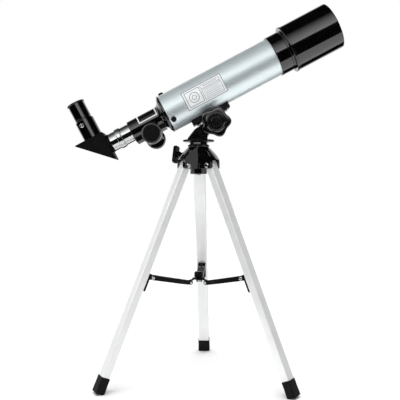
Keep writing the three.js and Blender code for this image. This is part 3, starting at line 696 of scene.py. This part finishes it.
def dew_shield():
    """The hood, with fine ridges inside against stray light."""
    ridges = []
    pitch = 1.6
    for i in range(34):
        x = HOOD_END - 3.4 - pitch * i
        ridges += [(x, HOOD_BORE), (x - pitch / 2, HOOD_BORE + 0.45)]
    shape = turned("x", [
        (HOOD_START, 29.7), (HOOD_START, 34.75, 0.7), (HOOD_START + 2.8, 34.75, 0.7),
        (HOOD_START + 3.1, HOOD_R), (HOOD_END, HOOD_R, 0.9), (HOOD_END, HOOD_BORE, 0.8), *ridges,
        (HOOD_START + 4, HOOD_BORE), (HOOD_START + 4, 31), (HOOD_START + 12.5, 31),
        (HOOD_START + 12.5, 29.7)], 160)
    piece(shape, "dew_shield", TUBE)


# ---------------------------------------------------------------- focuser
def focuser_housing():
    shell = turned("x", [
        (BODY_END, DRAW_R + GAP), (BODY_END, BODY_R, 0.7), (-9.6, BODY_R, 4), (-6.2, 19.4, 7),
        (-4, 25.4, 1.4), (-2.5, 26), (-2.5, PLATE_R, 0.5), (0, PLATE_R, 0.3), (0, 26.4),
        (12, 26.4), (12, 24.4), (0.5, 24.4), (0.5, DRAW_R + GAP)], 144)
    rail = prism("yz", [(-11, -8), (11, -8), (9.9, -19, 1), (-9.9, -19, 1)], BODY_END + 0.5, -8, 0.8)
    gearbox = prism("yz", [(-10, -15), (10, -15), (8.8, -27, 1.2), (-8.8, -27, 1.2)], -42, -20, 0.8)
    body = join(shell, rail, gearbox)
    body = cut(body, rod("x", BODY_END - 5, 5, DRAW_R + GAP, 144),
               block(-37.5, -24.5, -4.6, 4.6, -30, -12), block(BODY_END - 1, 1, -3.3, 3.3, -17.4, -10),
               moved(rod("y", -20, 20, 2.3), at(PINION_X, 0, PINION_Z)))
    piece(body, "focuser_housing", FOCUSER)
    lines = outline_on_tube(-41, -11.4, 5, 118, 1.7, BODY_R, 0.05)
    trim(merged(lines), "focuser_outline", "focuser_housing", FOCUSER, WHITE_INK)
    cover = prism("yz", [(-8.8, -27 - GAP), (8.8, -27 - GAP), (8.6, -29, 0.8), (-8.6, -29, 0.8)],
                  -42, -20, 0.5)
    heads = [moved(screw_head(2.2, 0.2, 1.6, 1.2, -1), at(x, 0, -29) @ spin("x", 180))
             for x in (-39, -23)]
    piece(join(cover, *heads), "pinion_cover", FOCUSER)


def tube_screws():
    for i, angle in enumerate(SCREW_ANGLES):
        head = screw_head(3.9, TUBE_R + 0.1, TUBE_R + 2.9, 1.3, 23.5)
        piece(moved(head, at(SCREW_X, 0, 0)), f"tube_screw_{i + 1}", FOCUSER @ spin("x", angle))


def drawtube():
    tube = turned("x", [(-89.7, 12.2, 0.2), (-89.7, DRAW_R, 0.4), (22, DRAW_R, 0.3), (22, 12.2)], 144)
    piece(tube, "drawtube", FOCUSER)
    collar = turned("x", [
        (CLAMP_X - 4, DRAW_R + GAP), (CLAMP_X - 4, 15, 0.8), (CLAMP_X + 2.2, 15, 0.2),
        (CLAMP_X + 2.5, 14.7), (CLAMP_X + 2.8, 15, 0.2), (CLAMP_X + 4, 15, 0.6),
        (CLAMP_X + 4, DRAW_R + GAP)], 144)
    piece(collar, "drawtube_collar", FOCUSER)
    screw = knurled("y", [(-20, 0), (-20, 2.4, 0.3), (-19.6, 2.85, 0.3), (-16, 2.85, 0.3),
                          (-15.4, 2.4, 0.2), (-15.4, 1.3), (-14, 1.3), (-14, 0)],
                    (-19.5, -15.9, 2.6), 20, 0.14)
    piece(screw, "collar_thumbscrew", FOCUSER @ at(CLAMP_X, 0, 0))


def focus_knob(side):
    """A focus knob on the near side (-1) or the far side (1)."""
    profile = [(12, 2.3), (12, 6, 0.6), (KNOB_IN, 6.5, 0.6), (KNOB_IN, KNOB_R - 0.2, 0.8),
               (KNOB_IN + 1.6, KNOB_R - 0.2, 0.3), (KNOB_IN + 2, KNOB_R - 0.5),
               (KNOB_OUT - 4, KNOB_R - 0.5),
               (KNOB_OUT - 3.6, KNOB_R - 0.05, 0.3), (KNOB_OUT, KNOB_R - 0.05, 2.0),
               (KNOB_OUT, 12.5, 0.7), (KNOB_OUT - 1.1, 12.2, 0.4), (KNOB_OUT - 1.1, 0),
               (25.4, 0), (25.4, 2.3)]
    mirrored = [(side * p[0], *p[1:]) for p in profile]
    low, high = sorted((side * (KNOB_IN + 2), side * (KNOB_OUT - 4)))
    return knurled("y", mirrored, (low - 0.01, high + 0.01, KNOB_R - 1.5), 48, 0.3)


def focus_knobs():
    axle = FOCUSER @ at(PINION_X, 0, PINION_Z)
    for side, name in ((-1, "near"), (1, "far")):
        piece(focus_knob(side), f"focus_knob_{name}", axle)
        y = side * (KNOB_OUT - 1.1)
        face = turned("y", [(y - side * 0.3, 0), (y - side * 0.3, 11.9), (y + side * 0.15, 11.9, 0.1),
                            (y + side * 0.15, 0)])
        trim(face, f"focus_knob_{name}_face", f"focus_knob_{name}", axle, GRAINED)


# ---------------------------------------------------------------- diagonal and eyepiece
def diagonal():
    wedge = prism("xz", [(16.5, 19, 1.6), (-29, 19, 0.9), (16.5, -26.5, 0.9)], -14.25, 14.25, 1.1)
    shoulder = turned("x", [(15.5, 0), (15.5, 13.8), (20, 13.8, 0.6), (20, 11.9), (42, 11.9, 0.5),
                            (42, 0)], 96)
    body = join(wedge, shoulder)
    behind = prism("xz", [(-60, 60), (-60, -60), (60, -60)], -30, 30, 0)
    light = cut(join(rod("x", -20, 50, 10.5), rod("z", -20, 50, 10.5)), behind)
    seat = moved(block(-4.6, 0, -13, 13, -19.5, 19.5), spin("y", -45))
    piece(cut(body, light, seat), "diagonal_housing", FOLD, GRAINED)
    holder = turned("z", [(18.8, 12.5), (18.8, HOLDER_R), (HOLDER_TOP, HOLDER_R, 0.6),
                          (HOLDER_TOP, 12.5, 0.4)], 128)
    trim(holder, "eyepiece_holder", "diagonal_housing", FOLD, FINISHES["gloss_black"])
    screw = turned("y", [(-18, 0), (-18, 2.4, 0.4), (-17.2, 3.3, 0.4), (-14.6, 3.3, 0.3), (-14.6, 1.3),
                         (-12.6, 1.3), (-12.6, 0)], 64)
    screw = cut(screw, block(-0.4, 0.4, -20, -17.1, -4, 4))
    piece(screw, "holder_thumbscrew", FOLD @ at(0, 0, HOLDER_SCREW_Z) @ spin("z", -16))


def eyepiece():
    barrel = turned("z", [(24, 11.2), (24, 12.2, 0.4), (30, 12.2), (30.4, 11.9), (33, 11.9), (33.4, 12.2),
                          (HOLDER_TOP, 12.2), (HOLDER_TOP, 9), (55, 9), (55, 8.2), (46, 8.2),
                          (46, 11.2)], 96)
    piece(barrel, "eyepiece_barrel", FOLD)
    body = turned("z", [
        (HOLDER_TOP + GAP, 9.3), (HOLDER_TOP + GAP, 12.2, 0.3), (49, 12.2, 0.2), (49.2, 11.6),
        (49.9, 11.6), (50.1, EYEPIECE_R, 0.4), (72.9, EYEPIECE_R, 0.5), (73.2, 13.5, 0.4),
        (EYEPIECE_TOP, 13.5, 0.6), (EYEPIECE_TOP, 9.5, 0.8), (71, 6, 0.3), (67, 6), (67, 7.3),
        (58, 7.3), (58, 9.3)], 128)
    piece(body, "eyepiece_body", FOLD)

    def dome(edge, rim, r, steps=12):
        rise = rim - edge
        points = [(edge + rise * (1 - (i / steps) ** 2), r * i / steps) for i in range(steps + 1)]
        return points[::-1]
    field = turned("z", [(38, 0), (38, 10.9), *dome(40, 41.8, 10.9)], 96)
    piece(field, "field_lens", FOLD)
    eye = turned("z", [(62, 0), (62, 5.8), *dome(65, 66.7, 5.8)], 96)
    piece(eye, "eye_lens", FOLD)


# ---------------------------------------------------------------- saddle and mount
def saddle():
    lug = arc(ALT_X, ALT_Z, 9, 180, 360, 24)
    outline = [(SADDLE_START, -22), (SADDLE_START, SADDLE_FOOT, 1), (ALT_X - 16, SADDLE_FOOT, 4), *lug,
               (ALT_X + 16, SADDLE_FOOT, 4), (SADDLE_END, SADDLE_FOOT, 1), (SADDLE_END, -22)]
    bar = prism("xz", outline, -10, 10, 0.7)
    bar = cut(bar, rod("x", 0, 120, TUBE_R + GAP, 160),
              moved(rod("y", -20, 20, 3.3), at(ALT_X, 0, ALT_Z)))
    piece(bar, "saddle", TUBE)
    for i, x in enumerate((SADDLE_START + 8, SADDLE_END - 8)):
        head = screw_head(3.4, -SADDLE_FOOT + 0.1, -SADDLE_FOOT + 2.4, 1.5, 25)
        piece(head, f"saddle_screw_{i + 1}", TUBE @ at(x, 0, 0) @ spin("x", 180))


def fork():
    base = DISC_Z + 2.6
    x, z = (ALTITUDE.translation - AXIS).x / MM, ALTITUDE.translation.z / MM
    outline = [(-16.5, base, 0.8), (13, base, 0.8), (13.4, 354.5, 3), (16, 358.5, 4), (21, 361.5, 3),
               *arc(x, z, 12, -70, 130, 40), (5.2, 371, 6), (0.5, 367.2, 6), (-5.4, 363.2, 8),
               (-11.6, 355.4, 6)]
    body = prism("xz", outline, -CHEEK_OUT, CHEEK_OUT, 0.9)
    body = cut(body, block(-30, 50, -CHEEK_IN, CHEEK_IN, FORK_FLOOR, 400),
               rod("z", 340, 360, 3.5), moved(rod("y", -20, 20, 3.3), at(x, 0, z)))
    piece(body, "fork", MOUNT)
    disc = turned("z", [(DISC_Z, 3.5), (DISC_Z, DISC_R, 0.7), (DISC_Z + 2.3, DISC_R, 0.7),
                        (DISC_Z + 2.3, 3.5)], 128)
    piece(disc, "azimuth_disc", MOUNT)


def bolts():
    head = prism("xy", hexagon(6.5), FORK_FLOOR + GAP, FORK_FLOOR + 4, 0.5)
    shank = turned("z", [(CROWN_FOOT - 1.2, 0), (CROWN_FOOT - 1.2, 3.2, 0.6), (FORK_FLOOR + 1, 3.2),
                         (FORK_FLOOR + 1, 0)], 48)
    piece(join(head, shank), "azimuth_bolt", MOUNT)
    nut = prism("xy", hexagon(6.6), CROWN_FOOT + 0.6, CROWN_FOOT + 5, 0.5)
    piece(cut(nut, rod("z", 290, 310, 3.5)), "azimuth_nut", MOUNT)
    y = CHEEK_OUT + GAP
    head = prism("xz", hexagon(6.4), y, y + 4.5, 0.5)
    piece(join(head, rod("y", -24, y + 1, 3)), "altitude_bolt", ALTITUDE)


def star_knob():
    """The altitude knob: a round boss on a grip with five lobes."""
    y = -(CHEEK_OUT + GAP)
    mean = STAR_R - STAR_DEPTH

    def swell(turn, along, r):
        share = min(1, max(0, (r - 13.8) / 4))
        return r + STAR_DEPTH * share * math.cos(STAR_LOBES * (turn - math.radians(STAR_TURN)))
    shape = turned("y", [
        (y, 0), (y, 9, 0.5), (y - 2.6, 11.4, 0.6), (y - 2.6, mean, 1.6), (y - 12, mean, 3.2),
        (y - 12, 14.8, 0.9), (y - 13.2, 13.7, 0.5), (y - 14.4, 13.4, 0.7), (y - 14.4, 12.0, 0.5),
        (y - 13.0, 11.4, 0.4), (y - 13.0, 7.2, 0.3), (y - 13.5, 6.9, 0.3), (y - 13.5, 0)], 240, swell)
    hole = rod("y", y - 10, y + 5, 3.3)
    piece(cut(shape, hole), "altitude_knob", ALTITUDE)


# ---------------------------------------------------------------- tripod crown
def crown():
    """A dome over three lobes with upright walls, with a thin lip that stands out over them."""
    def around(make):
        return [moved(make(), spin("z", azimuth)) for azimuth in LEGS.values()]

    def lobes(half):
        return join(*around(lambda: block(0, 60, -half, half, 295, 360)))
    dome = [(308, 31, 0.8), (314, 31.2), (318, 30.9), (321, 30.1), (324.4, 28.2), (327.4, 25.9),
            (330.8, 22.8), (334.4, 19.4), (336.8, 16.8), (338.4, 15.2)]
    apex = dome[-1][0]
    skin = [(dome[0][0], 0), *dome, (apex, 0)]
    under = [(z - 1.2, r - 1.6) for z, r, *_ in dome]
    hollow = [(dome[0][0] - 2, 0), (dome[0][0] - 2, dome[0][1] - 1.6), *under, (apex - 1.2, 0)]
    lip = cut(common(turned("z", skin, 160), lobes(LOBE_HALF + LIP)), turned("z", hollow, 160))
    body = common(turned("z", skin, 160), lobes(LOBE_HALF))
    boss = turned("z", [(330, 0), (330, 13), (apex + 0.4, 15.4), (apex + 1, 16, 0.4), (341.2, 16, 0.6),
                        (342, 13.2, 0.4), (CROWN_TOP, 13, 0.4), (CROWN_TOP, 0)], 128)
    foot = turned("z", [(CROWN_FOOT, 0), (CROWN_FOOT, 12.5, 0.6), (310, 12.5), (310, 0)], 96)
    ear = [(8, 306.5, 1), (28.8, 306.5, 2.2), (28.8, 316), (8, 316)]
    ears = around(lambda: prism("xz", ear, -LOBE_HALF, LOBE_HALF, 0.5))
    slots = around(lambda: block(13.3, 60, -LEG_W / 2 - 0.4, LEG_W / 2 + 0.4, 290, 319.6))
    pins = around(lambda: moved(rod("y", -30, 30, 2.5), at(PIN_R, 0, PIN_Z)))
    lock = spin("z", azimuth_of_lock()) @ at(0, 0, lock_height())
    shape = join(body, lip, boss, foot, *ears)
    shape = cut(shape, *slots, *pins, rod("z", 290, 360, 3.5), rod("z", 290, CROWN_FOOT + 5.4, 7.2),
                moved(rod("x", 0, 40, 2.8), lock))
    piece(bevelled(shape, 0.35), "crown", MOUNT)


def azimuth_of_lock():
    axis = joint_axis("azimuth_lock_turn")
    return math.degrees(math.atan2(axis.y, axis.x))


def lock_height():
    return JOINTS["azimuth_lock_turn"]["pos_m"][2] / MM


def lock_screw():
    wing = prism("yz", rounded_rectangle(12, 26, 3.4), LOCK_R - 2.6, LOCK_R + 2.6, 1.3)
    neck = turned("x", [(4.2, 0), (4.2, 2.5), (LOCK_R - 8, 2.5), (LOCK_R - 8, 4.2, 0.5), (LOCK_R, 4.2),
                        (LOCK_R, 0)], 64)
    place = MOUNT @ at(0, 0, lock_height()) @ spin("z", azimuth_of_lock()) @ spin("x", LOCK_LEAN)
    piece(join(wing, neck), "azimuth_lock_screw", place)


# ---------------------------------------------------------------- legs
def boot_bottom():
    drop = PIN_Z + 1.5 - 6.5 * math.sin(math.radians(SPREAD))
    return -drop / math.cos(math.radians(SPREAD))


def leg(name, place):
    end = boot_bottom() + BOOT_FLOOR + GAP
    outside = prism("xy", rounded_rectangle(LEG_T, LEG_W, 1.5), end, 5.8, 0.35)
    inside = prism("xy", rounded_rectangle(LEG_T - 2 * LEG_WALL, LEG_W - 2 * LEG_WALL, 0.8), end - 5, 10, 0)
    piece(cut(outside, inside, rod("y", -20, 20, 2.5)), f"leg_{name}", place)


def boot(name, place):
    """A rubber boot that is slightly waisted, with a top edge that dips on its wide faces."""
    bottom = boot_bottom()

    def section(w, t, z, dip):
        points = soften(rounded_rectangle(t, w, 2.4), 8)
        return [(u, v, z - dip * (1 - (2 * v / w) ** 2)) for u, v in points]
    outside = loft([section(BOOT_W - 0.8, BOOT_T - 0.8, bottom, 0),
                    section(BOOT_W, BOOT_T, bottom + 0.8, 0),
                    section(BOOT_W, BOOT_T, bottom + 7, 0),
                    section(BOOT_W - 0.4, BOOT_T - 0.3, bottom + 14, 0.3),
                    section(BOOT_W - 0.2, BOOT_T - 0.2, bottom + BOOT_HEIGHT - 0.8, 1),
                    section(BOOT_W - 0.8, BOOT_T - 0.8, bottom + BOOT_HEIGHT, 1.1)])
    inside = prism("xy", rounded_rectangle(LEG_T + 0.5, LEG_W + 0.5, 1.7), bottom + BOOT_FLOOR,
                   bottom + 40, 0)
    # Known fault: this cutter stops short of the boot, so the sole reaches 1.3 mm below the floor.
    foot = Matrix.Translation((*place.translation.xy, 0))
    ground = moved(block(-80, 80, -80, 80, -80, 0), place.inverted() @ foot)
    shape = cut(outside, inside, ground)
    piece(bevelled(shape, 0.3, 2), f"boot_{name}", place)


def leg_pin(name, place):
    pin = turned("y", [(-14, 0), (-14, 2.2, 0.7), (-13.5, 3.4, 0.3), (-12.7, 3.4, 0.2), (-12.7, 2.2),
                       (12.7, 2.2), (12.7, 3.4, 0.2), (13.5, 3.4, 0.3), (14, 2.2, 0.7), (14, 0)], 64)
    piece(pin, f"leg_pin_{name}", place)


def bracket(name, place):
    face = -LEG_T / 2 - GAP
    s = -OUTER_S
    half = BRACKET_HALF
    plate = prism("yz", [(-half, s - 22, 2), (half, s - 22, 2), (half, s + 4, 0.8), (-half, s + 4, 0.8)],
                  face - BRACKET_T, face, 0.5)
    nose = arc(-OUTER_IN, s, 3.6, 90, 270, 24)
    tab = prism("xz", [*nose, (face - 1, s - 6), (face - 1, s + 3.6)], -1.5, 1.5, 0.35)
    hole = moved(rod("y", -10, 10, 1.9), at(-OUTER_IN, 0, s))
    piece(cut(join(plate, tab), hole), f"bracket_{name}", place)


# ---------------------------------------------------------------- spreader
def rivet(half, head_r):
    def head(side):
        return [(side * (half + GAP), head_r, 0.2), (side * (half + 0.8), head_r * 0.88, 0.3),
                (side * (half + 1.3), head_r * 0.5, 0.5)]
    profile = [(-half - 1.3, 0), *head(-1)[::-1], (-half - GAP, 1.6), (half + GAP, 1.6), *head(1),
               (half + 1.3, 0)]
    return turned("y", profile, 48)


def arm(name, place):
    """A channel open below, narrowed where it goes in between the others at the hub."""
    length = arm_length()
    half = ARM_W / 2
    side = [*arc(0, 0, ARM_H / 2, -90, 90, 20), *arc(-length, 0, 2.9, 90, 270, 20),
            (-length + 8, -ARM_H / 2)]
    plan = [(6, -half), (6, half), (-length + 17, half, 6), (-length + 11, NECK_HALF, 6),
            (-length - 5, NECK_HALF), (-length - 5, -NECK_HALF), (-length + 11, -NECK_HALF, 6),
            (-length + 17, -half, 6)]
    shape = common(prism("xz", side, -10, 10, 0), prism("xy", plan, -10, 10, 0))
    wide, narrow = half - ARM_WALL, NECK_HALF - ARM_WALL
    inner = [(20, -wide), (20, wide), (-length + 17, wide, 6), (-length + 11, narrow, 6),
             (-length - 20, narrow), (-length - 20, -narrow), (-length + 11, -narrow, 6),
             (-length + 17, -wide, 6)]
    shape = cut(shape, prism("xy", inner, -10, ARM_H / 2 - ARM_WALL, 0),
                block(-9, 10, -wide, wide, -10, 10),
                block(-length - 10, -length + 20, -narrow, narrow, -10, 10),
                rod("y", -10, 10, 1.9), moved(rod("y", -10, 10, 1.9), at(-length, 0, 0)))
    piece(bevelled(shape, 0.25, 2), f"arm_{name}", place)
    piece(rivet(half, 2.8), f"outer_rivet_{name}", place)
    piece(rivet(NECK_HALF, 2.2), f"inner_rivet_{name}", place @ at(-length, 0, 0))


def hub():
    plate = turned("z", [(HUB_Z + 4.2, 0), (HUB_Z + 4.2, 9.2, 0.5), (HUB_Z + 6.4, 9.2, 0.5),
                         (HUB_Z + 6.4, 0)], 96)
    stud = rod("z", HUB_Z + 5, HUB_Z + 13, 2)
    hook = [*arc(HUB_PIVOT_R, HUB_Z, 4.2, -40, 100, 20), (6, HUB_Z + 6.4), (6, HUB_Z + 4.2),
            *arc(HUB_PIVOT_R, HUB_Z, 2, 120, -40, 16)]
    hooks = [moved(prism("xz", hook, -1.5, 1.5, 0.3), spin("z", a)) for a in LEGS.values()]
    piece(join(plate, stud, *hooks), "spreader_hub", MOUNT)
    z = HUB_Z
    knob = knurled("z", [(z + 6.7, 2.3), (z + 6.7, 5, 0.4), (z + 8, 6.3, 0.6), (z + 14, 6.3, 0.8),
                         (z + 15.2, 5.0, 0.6), (z + 15.2, 0), (z + 13.4, 0), (z + 13.4, 2.3)],
                   (z + 8.2, z + 13.6, 6), 30, 0.18)
    piece(knob, "hub_knob", MOUNT)


# ---------------------------------------------------------------- assembly
def telescope():
    main_tube()
    sticker()
    objective()
    dew_shield()
    focuser_housing()
    tube_screws()
    drawtube()
    focus_knobs()
    diagonal()
    eyepiece()


def mount_and_tripod():
    saddle()
    fork()
    bolts()
    star_knob()
    crown()
    lock_screw()
    for name in LEGS:
        place = leg_frame(name)
        leg(name, place)
        boot(name, place)
        leg_pin(name, place)
        bracket(name, place)
        arm(name, arm_frame(name))
    hub()


def carried_nodes():
    """Finishes for the CAD nodes that stay as they are."""
    for node in ("tube_baffle", "focus_rack", "pinion_shaft", "diagonal_mirror"):
        shape = frame["nodes"][node]
        shape.data.materials.clear()
        shape.data.materials.append(FINISHES[SLOT_OF[node]])


# ---------------------------------------------------------------- floor, light and camera
# Corners in metres, the near ones round the part of the floor that shows in reflections.
FLOOR_NEAR = [(-0.8, -0.35), (0.9, -0.55), (0.9, 0.25), (-0.8, 0.25)]
FLOOR_FAR = [(-6, -6), (6, -6), (6, 6), (-6, 6)]


def floor_piece(name, corners, faces, finish):
    mesh = bpy.data.meshes.new(name)
    mesh.from_pydata([(x, y, 0) for x, y in corners], [], faces)
    made = bpy.data.objects.new(name, mesh)
    bpy.context.scene.collection.objects.link(made)
    made.data.materials.append(finish)
    return made


def stage():
    """A pale floor; only the part round the object shows in its reflections."""
    finish = floor_finish()
    floor_piece("floor_near", FLOOR_NEAR, [(0, 1, 2, 3)], finish)
    around = floor_piece("floor_far", FLOOR_NEAR + FLOOR_FAR,
                         [(i, (i + 1) % 4, 4 + (i + 1) % 4, 4 + i) for i in range(4)], finish)
    around.visible_glossy = False


def top_light():
    light = bpy.data.lights.new("top_light", "SUN")
    light.energy = 2.9
    light.angle = math.radians(70)
    lamp = bpy.data.objects.new("top_light", light)
    lamp.visible_glossy = False
    bpy.context.scene.collection.objects.link(lamp)


def studio():
    """White to the eye; to the object, a tall softbox in front with a sharp lower edge."""
    world = bpy.data.worlds.new("studio")
    bpy.context.scene.world = world
    world.use_nodes = True
    nodes, link = world.node_tree.nodes, world.node_tree.links.new
    nodes.clear()
    place = nodes.new("ShaderNodeTexCoord")
    parts = nodes.new("ShaderNodeSeparateXYZ")
    link(place.outputs["Generated"], parts.inputs["Vector"])

    def ramp(source, stops):
        """Straight lines between (component of the direction, value) stops from -1 to 1."""
        step = nodes.new("ShaderNodeMapRange")
        step.inputs["From Min"].default_value = -1
        step.inputs["From Max"].default_value = 1
        link(source, step.inputs["Value"])
        made = nodes.new("ShaderNodeValToRGB")
        elements = made.color_ramp.elements
        elements.remove(elements[1])
        elements[0].position = 0
        for where, value in stops:
            element = elements[0] if where == -1 else elements.new((where + 1) / 2)
            element.color = (value, value, value, 1)
        link(step.outputs["Result"], made.inputs["Fac"])
        return made.outputs["Color"]

    def math_node(operation, a, b):
        made = nodes.new("ShaderNodeMath")
        made.operation = operation
        for socket, value in zip(made.inputs, (a, b)):
            if isinstance(value, (int, float)):
                socket.default_value = value
            else:
                link(value, socket)
        return made.outputs["Value"]
    x, y, z = (parts.outputs[axis] for axis in "XYZ")

    def panel(strength, *ramps):
        total = strength
        for made in ramps:
            total = math_node("MULTIPLY", made, total)
        return total
    softbox = panel(2.6, ramp(y, [(-1, 1), (-0.25, 1), (0.3, 0.2), (0.5, 0), (1, 0)]),
                    ramp(z, [(-1, 0), (0.145, 0), (0.17, 1), (0.574, 0.52), (0.875, 0), (1, 0)]),
                    ramp(x, [(-1, 1), (0.3, 1), (0.5, 0), (1, 0)]))
    back_wall = panel(1.1, ramp(y, [(-1, 0), (0.35, 0), (0.6, 1), (1, 1)]),
                      ramp(z, [(-1, 0), (-0.35, 0), (-0.2, 1), (0.55, 1), (0.72, 0), (1, 0)]))
    side_panel = panel(0.7, ramp(x, [(-1, 0), (0.55, 0), (0.65, 1), (1, 1)]),
                       ramp(y, [(-1, 0), (-0.85, 0), (-0.75, 1), (-0.3, 1), (-0.1, 0), (1, 0)]),
                       ramp(z, [(-1, 0), (-0.3, 0), (-0.2, 1), (0.1, 1), (0.145, 0), (1, 0)]))
    total = math_node("ADD", math_node("ADD", softbox, back_wall), math_node("ADD", side_panel, 0.008))
    lit = nodes.new("ShaderNodeBackground")
    link(total, lit.inputs["Strength"])
    plain = nodes.new("ShaderNodeBackground")
    plain.inputs["Strength"].default_value = 1.0
    plain.inputs["Color"].default_value = (1, 1, 1, 1)
    path = nodes.new("ShaderNodeLightPath")
    mix = nodes.new("ShaderNodeMixShader")
    link(path.outputs["Is Camera Ray"], mix.inputs["Fac"])
    link(lit.outputs["Background"], mix.inputs[1])
    link(plain.outputs["Background"], mix.inputs[2])
    out = nodes.new("ShaderNodeOutputWorld")
    link(mix.outputs["Shader"], out.inputs["Surface"])
    bpy.context.scene.view_settings.view_transform = "Standard"


CAMERA_FROM_AXIS = Vector((9.5, -885.4, 281.7)) * MM
CAMERA_HEADING = -0.484          # degrees to the right of straight ahead (+y)
CAMERA_DOWN = 1.324
CAMERA_LENS = 54.64


def camera():
    data = bpy.data.cameras.new("camera")
    made = bpy.data.objects.new("camera", data)
    bpy.context.scene.collection.objects.link(made)
    made.location = AXIS + CAMERA_FROM_AXIS
    heading, down = math.radians(CAMERA_HEADING), math.radians(CAMERA_DOWN)
    look = Vector((math.sin(heading) * math.cos(down), math.cos(heading) * math.cos(down), -math.sin(down)))
    made.rotation_mode = "QUATERNION"
    made.rotation_quaternion = look.to_track_quat("-Z", "Y")
    data.sensor_width = 36
    data.lens = CAMERA_LENS
    bpy.context.scene.camera = made


telescope()
mount_and_tripod()
carried_nodes()
stage()
top_light()
studio()
camera()
